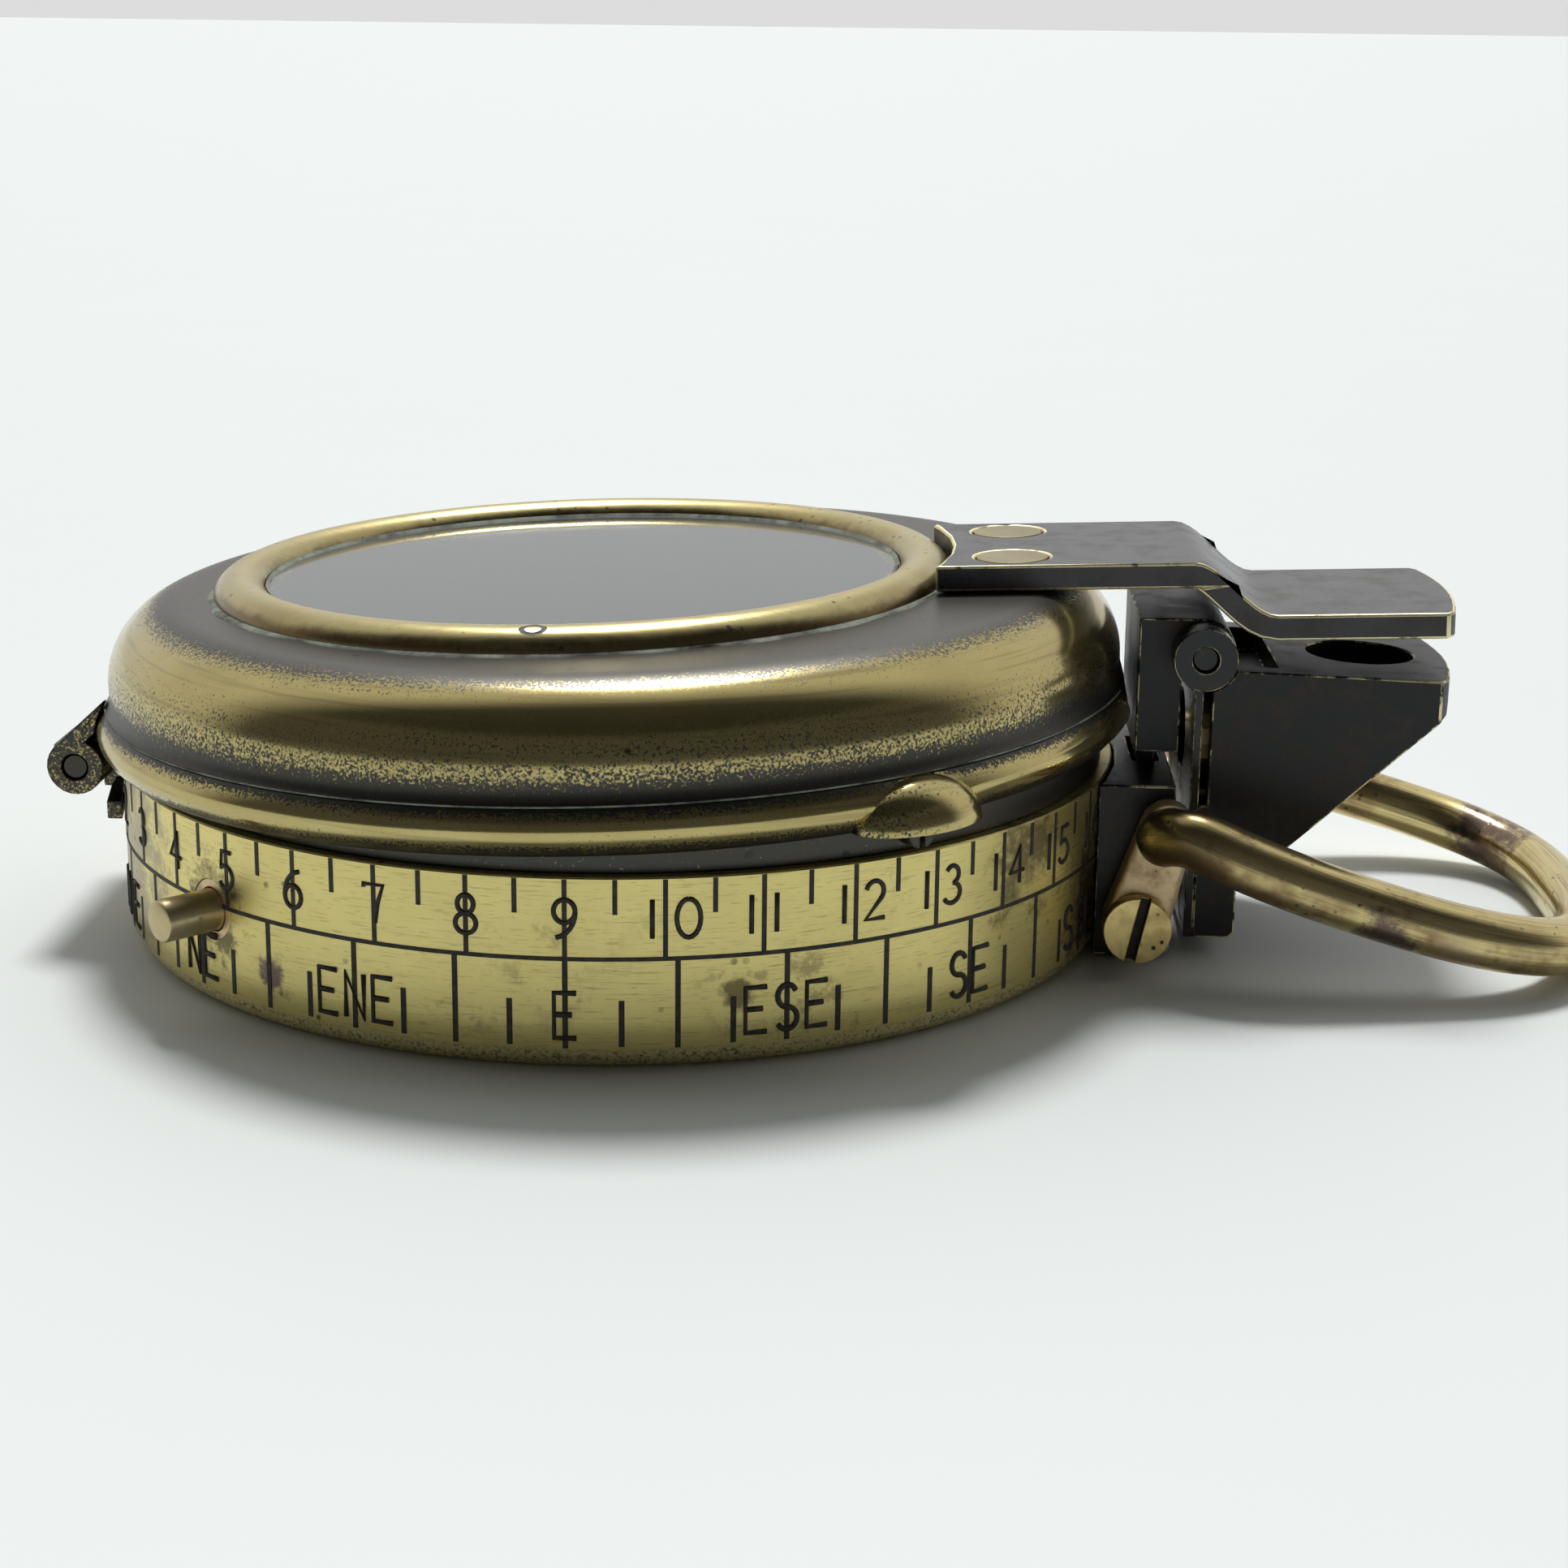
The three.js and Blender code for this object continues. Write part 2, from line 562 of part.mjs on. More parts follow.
const magnet = box([-MAGNET[0] / 2, -MAGNET[1] / 2, magnetZ], [MAGNET[0] / 2, MAGNET[1] / 2, CARD_Z]);
piece("magnet_bar", cut(magnet, rodZ(0, 0, HUB_R, magnetZ - 1, CARD_Z + 1, 16)), darkSteel);
const cardTop = CARD_Z + CARD_T;
piece(
  "dial_card",
  turned([[HUB_R, CARD_Z], [CARD_R, CARD_Z], [CARD_R, cardTop], [HUB_R, cardTop]], 48),
  cardPaper,
);
const jewelR = 0.7;
const jewelBottom = cardTop + 0.3;
const jewelTop = jewelBottom + 1.2;
piece(
  "card_cap",
  turned(
    [
      [jewelR + 0.05, cardTop],
      [CAP_R, cardTop],
      [CAP_R * 0.8, cardTop + CAP_H * 0.6],
      [jewelR, cardTop + CAP_H],
      [0, cardTop + CAP_H],
      [0, jewelTop],
      [jewelR + 0.05, jewelTop],
    ],
    24,
  ),
  brightBrass,
);
piece(
  "card_jewel",
  turned(
    [
      [0, NEEDLE_TIP + 0.1],
      [0.6, jewelBottom],
      [jewelR, jewelBottom],
      [jewelR, jewelTop],
      [0, jewelTop],
    ],
    16,
  ),
  jewel,
);

// ---------------------------------------------------------------- turning bezel and its clamp

const bezelBore = BEZEL_GLASS_R - 0.6;
const grooveR = BEZEL_R - 0.4;
piece(
  "bezel_ring",
  turned([
    [bezelBore, BEZEL_BOTTOM],
    [BEZEL_R, BEZEL_BOTTOM],
    [BEZEL_R, CLAMP_Z - 0.3],
    [grooveR, CLAMP_Z - 0.3],
    [grooveR, CLAMP_Z + 0.3],
    [BEZEL_R, CLAMP_Z + 0.3],
    [BEZEL_R, BEZEL_TOP],
    [BEZEL_GLASS_R + FIT, BEZEL_TOP],
    [BEZEL_GLASS_R + FIT, BEZEL_GLASS_Z],
    [bezelBore, BEZEL_GLASS_Z],
  ]),
  brightBrass,
);
const bezelGlassTop = BEZEL_GLASS_Z + BEZEL_GLASS_T;
piece(
  "bezel_glass",
  turned([[0, BEZEL_GLASS_Z], [BEZEL_GLASS_R, BEZEL_GLASS_Z], [BEZEL_GLASS_R, bezelGlassTop], [0, bezelGlassTop]], 48),
  clearGlass,
);
piece(
  "bezel_snap_ring",
  turned(
    [
      [BEZEL_GLASS_R - 0.8, bezelGlassTop],
      [BEZEL_GLASS_R, bezelGlassTop],
      [BEZEL_GLASS_R, bezelGlassTop + 0.5],
      [BEZEL_GLASS_R - 0.8, bezelGlassTop + 0.5],
    ],
    48,
  ),
  brightBrass,
);
const clampProfile = [
  [0, grooveR + 0.15],
  [0.2, grooveR + 0.15],
  [0.2, BEZEL_R + 0.3],
  [CLAMP_SHANK, BEZEL_R + 0.4],
  [CLAMP_SHANK, NECK_R + 0.2],
  [CLAMP_HEAD, NECK_R + 0.2],
  [CLAMP_HEAD, NECK_R + 1.5],
  [0, NECK_R + 1.5],
];
const clampSlot = box([NECK_R + 1, -0.15, CLAMP_Z - 2], [NECK_R + 2, 0.15, CLAMP_Z + 2]);
piece("clamp_screw", swung(cut(turnedX(clampProfile, 0, CLAMP_Z, 16), clampSlot), CLAMP_AZ), brightBrass);

// ---------------------------------------------------------------- brake pin and its leaf

const leafFace = CARD_R + BRAKE_TRAVEL + 0.2;
const leafBack = leafFace + 0.35;
const brakeLeafHalf = BRAKE_ROD + 0.55;
piece(
  "brake_pin",
  swung(
    turnedX(
      [[0, leafBack], [BRAKE_ROD, leafBack], [BRAKE_ROD, BRAKE_OUT - 0.15], [BRAKE_ROD - 0.15, BRAKE_OUT], [0, BRAKE_OUT]],
      0,
      BRAKE_Z,
    ),
    BRAKE_AZ,
  ),
  brightBrass,
);
piece(
  "brake_spring",
  swung(box([leafFace, -brakeLeafHalf, BRAKE_Z - brakeLeafHalf], [leafBack, brakeLeafHalf, cardTop + 0.3]), BRAKE_AZ),
  darkSteel,
);

// ---------------------------------------------------------------- lid: everything here is drawn shut
// and turned open about the hinge by the group.

const lid = new THREE.Group();
lid.position.set(HINGE_X, 0, HINGE_Z);
lid.rotation.y = -THREE.MathUtils.degToRad(LID_REST);
const shut = new THREE.Group();
shut.position.set(-HINGE_X, 0, -HINGE_Z);
lid.add(shut);
compass.add(lid);

const shoulderR = LID_SIDE_R - LID_SHOULDER;
const shoulderZ = LID_TOP - LID_SHOULDER;
/** The lid's outside from its rim to the middle of its top, moved out by a margin. */
function lidOutside(margin) {
  return [
    [LID_SIDE_R + margin, LID_BOTTOM],
    [BEAD_R - 0.2 + margin, BEAD_Z - 0.65],
    [BEAD_R + margin, BEAD_Z],
    [BEAD_R - 0.2 + margin, BEAD_Z + 0.65],
    [CREASE_R + margin, CREASE_Z],
    [LID_SIDE_R + 0.1 + margin, CREASE_Z + 0.35],
    ...arc(shoulderR, shoulderZ, LID_SHOULDER + margin, 0, 90, 6),
    [0, LID_TOP + margin],
  ];
}
const inShoulder = LID_SHOULDER - (LID_SIDE_R - LID_IN_R);
const lidInside = [
  [0, LID_TOP - LID_WALL],
  ...arc(LID_IN_R - inShoulder, LID_TOP - LID_WALL - inShoulder, inShoulder, 90, 0, 3),
  [LID_IN_R, LID_BOTTOM],
];
/** The bump over the clamp screw's head, moved in by a margin. */
function dome(margin) {
  const geometry = new THREE.SphereGeometry(1, 16, 12);
  geometry.scale(DOME.out - LID_SIDE_R - margin, DOME.half - margin, DOME.high - margin);
  geometry.translate(LID_SIDE_R, 0, LID_BOTTOM);
  return swung(solid(geometry), CLAMP_AZ);
}
const belowLid = rodZ(0, 0, CASE_R + 15, 0, LID_BOTTOM, ROUND);
const windowHole = rodZ(WINDOW_X, 0, WINDOW_BORE_R + 0.6, LID_TOP - 3, LID_TOP + 3, ROUND);
const hingeNotch = centred(
  HINGE_X - 4,
  HINGE_X + 5,
  HINGE_HALF + AIR,
  LID_BOTTOM - 1,
  HINGE_Z + KNUCKLE_R + AIR,
);
const slideNotch = centred(BLOCK.x0 - 0.4, BLOCK.x1 + 2, BLOCK.half + 0.9, LID_BOTTOM - 1, LID_BOTTOM + 4.4);
const rivetHoles = sides.map(([, s]) =>
  rodZ(RIVET_X, s * RIVET_Y, RIVET_SHANK + FIT, LID_TOP - 3, LID_TOP + 3),
);
const insideLid = rodZ(0, 0, LID_IN_R, 0, LID_TOP, ROUND);
const lidShell = joined(turned([...lidOutside(0), ...lidInside]), cut(dome(0), insideLid));
piece(
  "lid_shell",
  cut(lidShell, dome(DOME.wall), belowLid, windowHole, hingeNotch, slideNotch, ...rivetHoles),
  agedBrass,
  shut,
);

const beadMid = (WINDOW_OUT_R + WINDOW_IN_R) / 2;
const beadHalf = (WINDOW_OUT_R - WINDOW_IN_R) / 2;
const glassTop = LID_TOP + 0.4;
const bead = arc(0, 0, 1, 0, 160, 6).map(([x, z]) => [beadMid + x * beadHalf, LID_TOP + z * WINDOW_BEAD_H]);
piece(
  "window_ring",
  turned([
    [WINDOW_BORE_R, LID_TOP - LID_WALL - 0.2],
    [WINDOW_BORE_R + 0.5, LID_TOP - LID_WALL - 0.2],
    [WINDOW_BORE_R + 0.5, LID_TOP],
    ...bead,
    [WINDOW_IN_R, glassTop],
    [WINDOW_BORE_R, glassTop],
  ]).translate([WINDOW_X, 0, 0]),
  brightBrass,
  shut,
);
const glassR = WINDOW_BORE_R - FIT;
const glassBottom = glassTop - WINDOW_GLASS_T;
piece(
  "window_glass",
  turned([[0, glassBottom], [glassR, glassBottom], [glassR, glassTop], [0, glassTop]], 48).translate([WINDOW_X, 0, 0]),
  clearGlass,
  shut,
);
piece(
  "window_retainer",
  turned(
    [[glassR - 0.8, glassBottom - 0.5], [glassR, glassBottom - 0.5], [glassR, glassBottom], [glassR - 0.8, glassBottom]],
    48,
  ).translate([WINDOW_X, 0, 0]),
  brightBrass,
  shut,
);

/** Height of the tongue's upper side: flat, an S bend down, and the tab. */
function tongueZ(x) {
  const t = THREE.MathUtils.smoothstep(x, TONGUE_BEND[0], TONGUE_BEND[1]);
  return TONGUE_TOP + (TAB_TOP - TONGUE_TOP) * t;
}
const bendSteps = 10;
const bendStep = (TONGUE_BEND[1] - TONGUE_BEND[0]) / bendSteps;
const bendXs = Array.from({ length: bendSteps + 1 }, (_, i) => TONGUE_BEND[0] + i * bendStep);
const tongueRoot = WINDOW_X + WINDOW_OUT_R - 1; // cut back along the window ring
const tongueXs = [tongueRoot, ...bendXs, TONGUE_END + 1];
const tongueUpper = tongueXs.map((x) => [x, tongueZ(x)]);
const tongueLower = tongueXs.map((x) => {
  const slope = (tongueZ(x + 0.01) - tongueZ(x - 0.01)) / 0.02;
  const length = Math.hypot(1, slope);
  return [x + (TONGUE_T * slope) / length, tongueZ(x) - TONGUE_T / length];
});
const tonguePlan = bowedPlan(tongueRoot - 1, TONGUE_END, TONGUE_BOW, TONGUE_HALF, CORNER);
const tongueBent = drawn([...tongueUpper, ...tongueLower.reverse()], -TONGUE_HALF - 1, TONGUE_HALF + 1);
const ringClear = rodZ(WINDOW_X, 0, WINDOW_OUT_R + SKIN, LID_TOP - 2, LID_TOP + 4, ROUND);
const rivetSinks = sides.map(([, s]) =>
  joined(
    rodZ(RIVET_X, s * RIVET_Y, RIVET_R + FIT, TONGUE_TOP - 0.7, TONGUE_TOP + 1, 28),
    rodZ(RIVET_X, s * RIVET_Y, RIVET_SHANK + FIT, LID_TOP - 1, TONGUE_TOP + 1),
  ),
);
piece(
  "lid_tongue",
  cut(tongueBent.intersect(raised(tonguePlan, 0, TONGUE_TOP + 5)), ringClear, ...rivetSinks),
  blackened,
  shut,
);
sides.forEach(([side, s]) => {
  const under = LID_TOP - LID_WALL;
  const profile = [
    [0, under - 0.6],
    [RIVET_SHANK + 0.5, under - 0.6],
    [RIVET_SHANK + 0.5, under - 0.05],
    [RIVET_SHANK, under - 0.05],
    [RIVET_SHANK, TONGUE_TOP - 0.65],
    [RIVET_R, TONGUE_TOP - 0.65],
    [RIVET_R, TONGUE_TOP],
    [0, TONGUE_TOP],
  ];
  piece("tongue_rivet_" + side, turned(profile, 28).translate([RIVET_X, s * RIVET_Y, 0]), brightBrass, shut);
});

// The lid's half of the hinge: two end knuckles and a strap that lies up the lid's side.
const strap = { slope: 40.7, top: -LID_SIDE_R + 2.1, thick: 0.9 };
const strapAngle = THREE.MathUtils.degToRad(strap.slope);
const [ux, uz] = [Math.cos(strapAngle), Math.sin(strapAngle)];
const tangent = [HINGE_X - KNUCKLE_R * uz, HINGE_Z + KNUCKLE_R * ux];
const strapReach = (strap.top - tangent[0]) / ux;
const strapOutline = [
  [tangent[0] + strap.thick * uz, tangent[1] - strap.thick * ux],
  [tangent[0] + strapReach * ux + strap.thick * uz, tangent[1] + strapReach * uz - strap.thick * ux],
  [tangent[0] + strapReach * ux, tangent[1] + strapReach * uz],
  tangent,
];
const strapPlate = drawn(strapOutline, -HINGE_HALF, HINGE_HALF);
const endKnuckles = rodY(HINGE_X, HINGE_Z, KNUCKLE_R, -HINGE_HALF, HINGE_HALF, 24);
const knuckleGap = rodY(HINGE_X, HINGE_Z, KNUCKLE_R + AIR, -MIDDLE_HALF - AIR, MIDDLE_HALF + AIR, 24);
const lidBulk = turned([[0, LID_BOTTOM], ...lidOutside(SKIN)]);
piece("lid_hinge_strap", cut(joined(strapPlate, endKnuckles), knuckleGap, lidBulk, hingeBore), agedBrass, shut);

// ---------------------------------------------------------------- focusing slide

const block = centred(BLOCK.x0, BLOCK.x1, BLOCK.half, BLOCK.z0, BLOCK.z1);
const stem = centred(STEM.x0, STEM.x1, STEM.half, STEM.z0, BLOCK.z0 + 1);
const slideKnuckle = rodY(FOLD_X, FOLD_Z, SLIDE_KNUCKLE_R, -BLOCK.half, BLOCK.half, 24);
const knuckleWeb = centred(BLOCK.x1 - 1, FOLD_X, BLOCK.half, FOLD_Z - 1, BLOCK.z1);
const foldBore = rodY(FOLD_X, FOLD_Z, HINGE_PIN_R + PIN_FIT, -PRISM_HALF - 2, PRISM_HALF + 2, 16);
piece("prism_slide", cut(joined(block, stem, slideKnuckle, knuckleWeb), foldBore), blackened);

// ---------------------------------------------------------------- folding prism

const plateTop = FOLD_Z - SLIDE_KNUCKLE_R - 0.25;
const earIn = BLOCK.half + 0.25;
const earOut = PRISM_HALF + 0.4;
const slopeLength = Math.hypot(1, PRISM_SLOPE);
/** X of the sloping back at a height, a wall's thickness or so inside it. */
function slantX(z, inset) {
  return PRISM_STRIP_X + (z - STRIP_TOP - inset * slopeLength) / PRISM_SLOPE;
}
const eyeZ = STRIP_TOP + (LOOK_X - PRISM_STRIP_X) * PRISM_SLOPE + PRISM_WALL * slopeLength;
const plate = centred(PLATE_X0, PLATE_X1, PRISM_HALF, PRISM_BOTTOM, plateTop);
const plateEars = sides.map(([, s]) => {
  const [y0, y1] = s > 0 ? [earIn, earOut] : [-earOut, -earIn];
  const lug = box([PLATE_X0, Math.max(y0, -PRISM_HALF), plateTop - 1], [PLATE_X1, Math.min(y1, PRISM_HALF), FOLD_Z - 1]);
  return joined(rodY(FOLD_X, FOLD_Z, FOLD_KNUCKLE_R, y0, y1, 24), lug);
});
/** A hole through the eye plate, or on into the housing. */
function plateHole(radius, y, z, to, facets) {
  const from = PLATE_X0 - 1;
  return turnedX([[0, from], [radius, from], [radius, to], [0, to]], y, z, facets);
}
const eyeHole = plateHole(EYE_R, 0, eyeZ, PLATE_X1 + 0.01, 28);
const slit = centred(PLATE_X0 - 1, PRISM_STRIP_X + 0.4, SLIT_HALF, PRISM_BOTTOM + 0.6, CAVITY_BOTTOM + 0.2);
const plateScrewHoles = sides.map(([, s]) =>
  plateHole(PLATE_SCREW.shank + FIT, s * PLATE_SCREW.y, PLATE_SCREW.z, PRISM_STRIP_X - 0.6, 16),
);
const plateScrewSinks = sides.map(([, s]) =>
  plateHole(PLATE_SCREW.head + FIT, s * PLATE_SCREW.y, PLATE_SCREW.z, PLATE_X0 + 0.3, 16),
);
piece(
  "prism_eye_plate",
  cut(joined(plate, ...plateEars), foldBore, eyeHole, slit, ...plateScrewHoles, ...plateScrewSinks),
  blackened,
);
sides.forEach(([side, s]) => {
  const profile = [
    [0, PLATE_X0 + 0.02],
    [PLATE_SCREW.head, PLATE_X0 + 0.02],
    [PLATE_SCREW.head, PLATE_X0 + 0.28],
    [PLATE_SCREW.shank, PLATE_X0 + 0.28],
    [PLATE_SCREW.shank, PRISM_STRIP_X - 0.8],
    [0, PRISM_STRIP_X - 0.8],
  ];
  piece("eye_plate_screw_" + side, turnedX(profile, s * PLATE_SCREW.y, PLATE_SCREW.z, 16), darkSteel);
});
piece("prism_hinge_pin", rodY(FOLD_X, FOLD_Z, HINGE_PIN_R, -PRISM_HALF, PRISM_HALF, 16), darkSteel);

const backZ = STRIP_TOP + (PRISM_OUT - PRISM_STRIP_X) * PRISM_SLOPE;
const housingOutline = [
  [PLATE_X1, PRISM_BOTTOM],
  [PRISM_STRIP_X - 0.3, PRISM_BOTTOM],
  [PRISM_STRIP_X, PRISM_BOTTOM + 0.3],
  [PRISM_STRIP_X, STRIP_TOP],
  [PRISM_OUT, backZ],
  [PRISM_OUT, PRISM_TOP - PRISM_FALL],
  [PLATE_X1, PRISM_TOP],
];
const housingPlan = bowedPlan(PLATE_X1 - 1, PRISM_OUT, PRISM_BOW, PRISM_HALF, CORNER);
const cavityPlan = bowedPlan(PLATE_X1 - 2, PRISM_OUT - PRISM_WALL, PRISM_BOW, PRISM_HALF - PRISM_WALL, CORNER);
const cavity = drawn(
  [
    [PLATE_X1 - 1, CAVITY_BOTTOM],
    [slantX(CAVITY_BOTTOM, PRISM_WALL), CAVITY_BOTTOM],
    [slantX(CAVITY_TOP, PRISM_WALL), CAVITY_TOP],
    [PLATE_X1 - 1, CAVITY_TOP],
  ],
  -PRISM_HALF,
  PRISM_HALF,
).intersect(raised(cavityPlan, 0, PRISM_TOP));
// Folded over, the top of the slide's block comes up inside this slot.
const slotReach = Math.hypot(FOLD_X - BLOCK.x0, BLOCK.z1 - FOLD_Z) + 0.2;
const blockSlot = centred(PLATE_X1 - 1, FOLD_X + slotReach, earIn, CAVITY_TOP + 0.5, PRISM_TOP + 1);
const lookHole = rodZ(LOOK_X, 0, LOOK_R, CAVITY_TOP - 1, PRISM_TOP + 1, 32);
const knuckleClear = rodY(FOLD_X, FOLD_Z, FOLD_KNUCKLE_R + FIT, -PRISM_HALF - 2, PRISM_HALF + 2, 24);
const lightGap = centred(PLATE_X1 - 1, PLATE_X1 + LIGHT_GAP.depth, PRISM_HALF + 2, LIGHT_GAP.z0, FOLD_Z - 1);
const housing = drawn(housingOutline, -PRISM_HALF, PRISM_HALF).intersect(raised(housingPlan, 0, PRISM_TOP + 1));
piece(
  "prism_housing",
  cut(housing, cavity, blockSlot, lookHole, knuckleClear, lightGap, slit, ...plateScrewHoles),
  blackened,
);

const glassBase = CAVITY_BOTTOM + 0.4;
const glassCrown = CAVITY_TOP - FIT;
piece(
  "prism_glass",
  drawn(
    [
      [PRISM_GLASS_X, glassBase],
      [slantX(glassBase, PRISM_WALL + FIT), glassBase],
      [slantX(glassCrown, PRISM_WALL + FIT), glassCrown],
      [PRISM_GLASS_X, glassCrown],
    ],
    -PRISM_GLASS_HALF,
    PRISM_GLASS_HALF,
  ),
  clearGlass,
);
const lensBack = PRISM_GLASS_X - 0.1;
const lensSeat = LENS_R + 0.05;
const lensRing = turnedX(
  [
    [lensSeat, PLATE_X1 + 0.05],
    [LENS_R + 0.9, PLATE_X1 + 0.05],
    [LENS_R + 0.9, lensBack],
    [lensSeat, lensBack],
  ],
  0,
  eyeZ,
  28,
);
const lensSpace = centred(PLATE_X1 - 1, PRISM_GLASS_X, PRISM_HALF, CAVITY_BOTTOM + 0.1, CAVITY_TOP - 0.1);
piece("lens_ring", lensRing.intersect(lensSpace), brightBrass);
piece(
  "eye_lens",
  turnedX(
    [
      [0, PLATE_X1 + 0.1],
      [1.6, PLATE_X1 + 0.2],
      [LENS_R, PLATE_X1 + 0.45],
      [LENS_R, lensBack - 0.05],
      [0, lensBack - 0.05],
    ],
    0,
    eyeZ,
    28,
  ),
  clearGlass,
);

// ---------------------------------------------------------------- thumb ring

/** The angle of the bow at which the wire reaches its bend. */
const bendAngle = Math.PI - Math.acos(((RING_X - BEND_X) / RING_A) ** (RING_POWER / 2));
/** The wire's middle line: a squarish bow that falls away from the case until it rests on its far side. */
class RingLine extends THREE.Curve {
  getPoint(t, target = new THREE.Vector3()) {
    const angle = bendAngle * (2 * t - 1);
    const power = 2 / RING_POWER;
    const along = Math.sign(Math.cos(angle)) * Math.abs(Math.cos(angle)) ** power;
    const across = Math.sign(Math.sin(angle)) * Math.abs(Math.sin(angle)) ** power;
    const x = RING_X + RING_A * along;
    const out = (x - BEND_X) / (RING_X + RING_A - BEND_X);
    const z = BEND_Z - (BEND_Z - WIRE_R) * out - 4 * RING_SAG * out * (1 - out);
    return target.set(x, RING_B * across, z);
  }
}
const wireShape = new THREE.Shape();
wireShape.absarc(0, 0, WIRE_R, 0, 2 * Math.PI);
const wire = solid(
  new THREE.ExtrudeGeometry(wireShape, {
    extrudePath: new RingLine(),
    steps: 44,
    curveSegments: 6,
    bevelEnabled: false,
  }),
);
const elbowOut = LEG_Y[1] + 0.3;
const ringLegs = sides.map(([, s]) => {
  const [y0, y1] = s > 0 ? LEG_Y : [-LEG_Y[1], -LEG_Y[0]];
  const lean = Math.atan2(BEND_X - PIVOT_X, BEND_Z - PIVOT_Z);
  const across = [Math.cos(lean) * LEG_HALF, -Math.sin(lean) * LEG_HALF];
  const bar = drawn(
    [
      [PIVOT_X - across[0], PIVOT_Z - across[1]],
      [PIVOT_X + across[0], PIVOT_Z + across[1]],
      [BEND_X + across[0], BEND_Z + across[1]],
      [BEND_X - across[0], BEND_Z - across[1]],
    ],
    y0,
    y1,
  );
  const eye = rodY(PIVOT_X, PIVOT_Z, LEG_HALF + 0.25, y0, y1, 24);
  const elbow = rodY(BEND_X, BEND_Z, LEG_HALF, s > 0 ? y0 : -elbowOut, s > 0 ? elbowOut : y1, 24);
  return cut(joined(bar, eye, elbow), rodY(PIVOT_X, PIVOT_Z, RING_SHANK + FIT, -LEG_Y[1] - 5, LEG_Y[1] + 5));
});
piece("thumb_ring", joined(wire, ...ringLegs), brightBrass);

export default compass;
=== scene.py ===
"""Sighting compass: its finished pieces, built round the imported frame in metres."""

import sys
import logging
import math
from collections.abc import Callable, Iterable, Sequence
from dataclasses import dataclass, field
from enum import Enum

import bmesh
import bpy
from mathutils import Matrix, Vector


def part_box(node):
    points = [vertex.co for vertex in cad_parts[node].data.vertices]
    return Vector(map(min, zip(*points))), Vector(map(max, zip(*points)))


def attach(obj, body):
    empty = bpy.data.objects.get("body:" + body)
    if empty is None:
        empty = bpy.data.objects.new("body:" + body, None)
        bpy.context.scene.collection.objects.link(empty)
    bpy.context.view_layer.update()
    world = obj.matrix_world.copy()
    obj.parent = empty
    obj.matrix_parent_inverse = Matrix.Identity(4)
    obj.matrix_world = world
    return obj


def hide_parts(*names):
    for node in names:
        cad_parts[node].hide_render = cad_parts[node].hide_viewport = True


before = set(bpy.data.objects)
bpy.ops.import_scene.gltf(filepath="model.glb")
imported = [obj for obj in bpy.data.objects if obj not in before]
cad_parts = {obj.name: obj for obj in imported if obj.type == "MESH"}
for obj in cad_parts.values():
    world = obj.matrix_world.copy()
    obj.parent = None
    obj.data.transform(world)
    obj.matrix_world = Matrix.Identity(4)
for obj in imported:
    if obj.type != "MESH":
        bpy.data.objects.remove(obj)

LOG = logging.getLogger("sighting_compass")
MM = 0.001
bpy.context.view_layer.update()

Point = tuple[float, float]
Colour = tuple[float, float, float]
# A round colour patch: middle, reach, share and colour; used for stains and for painted shade.
ColourPatch = tuple[Colour, float, float, Colour]


class Face(Enum):
    """Which way an engraved mark is laid."""

    BAND = "band"
    CARD = "card"


# ------------------------------------------------------------------ mesh making


def linked(name: str, mesh: bpy.types.Mesh) -> bpy.types.Object:
    """Puts a mesh in the scene as an object at the origin.

    Args:
        name: the piece's name.
        mesh: its mesh, with its place in its vertices.

    Returns:
        The new object.
    """
    made = bpy.data.objects.new(name, mesh)
    bpy.context.scene.collection.objects.link(made)
    return made


def smoothed(mesh: bpy.types.Mesh, sharp: float = 35.0) -> None:
    """Shades a mesh smooth, apart from edges sharper than an angle in degrees."""
    mesh.polygons.foreach_set("use_smooth", [True] * len(mesh.polygons))
    mesh.set_sharp_from_angle(angle=math.radians(sharp))


def filleted(profile: Sequence[Point], radius: float, steps: int = 4) -> list[Point]:
    """Rounds every corner of a closed outline.

    Args:
        profile: the outline's points, in order.
        radius: the wished radius; short sides get less.
        steps: points along each rounded corner.

    Returns:
        The rounded outline.
    """
    out: list[Point] = []
    count = len(profile)
    for i, here in enumerate(profile):
        p, a, b = Vector(here), Vector(profile[i - 1]), Vector(profile[(i + 1) % count])
        to_a, to_b = a - p, b - p
        if here[0] <= 1e-9 or to_a.length < 1e-9 or to_b.length < 1e-9:
            out.append(here)
            continue
        turn = math.pi - to_a.angle(to_b)
        if turn < math.radians(12):
            out.append(here)
            continue
        reach = min(radius * math.tan(turn / 2), to_a.length * 0.45, to_b.length * 0.45)
        start, end = p + to_a.normalized() * reach, p + to_b.normalized() * reach
        for k in range(steps + 1):
            t = k / steps
            q = start * (1 - t) ** 2 + p * 2 * t * (1 - t) + end * t**2
            out.append((q.x, q.y))
    return out


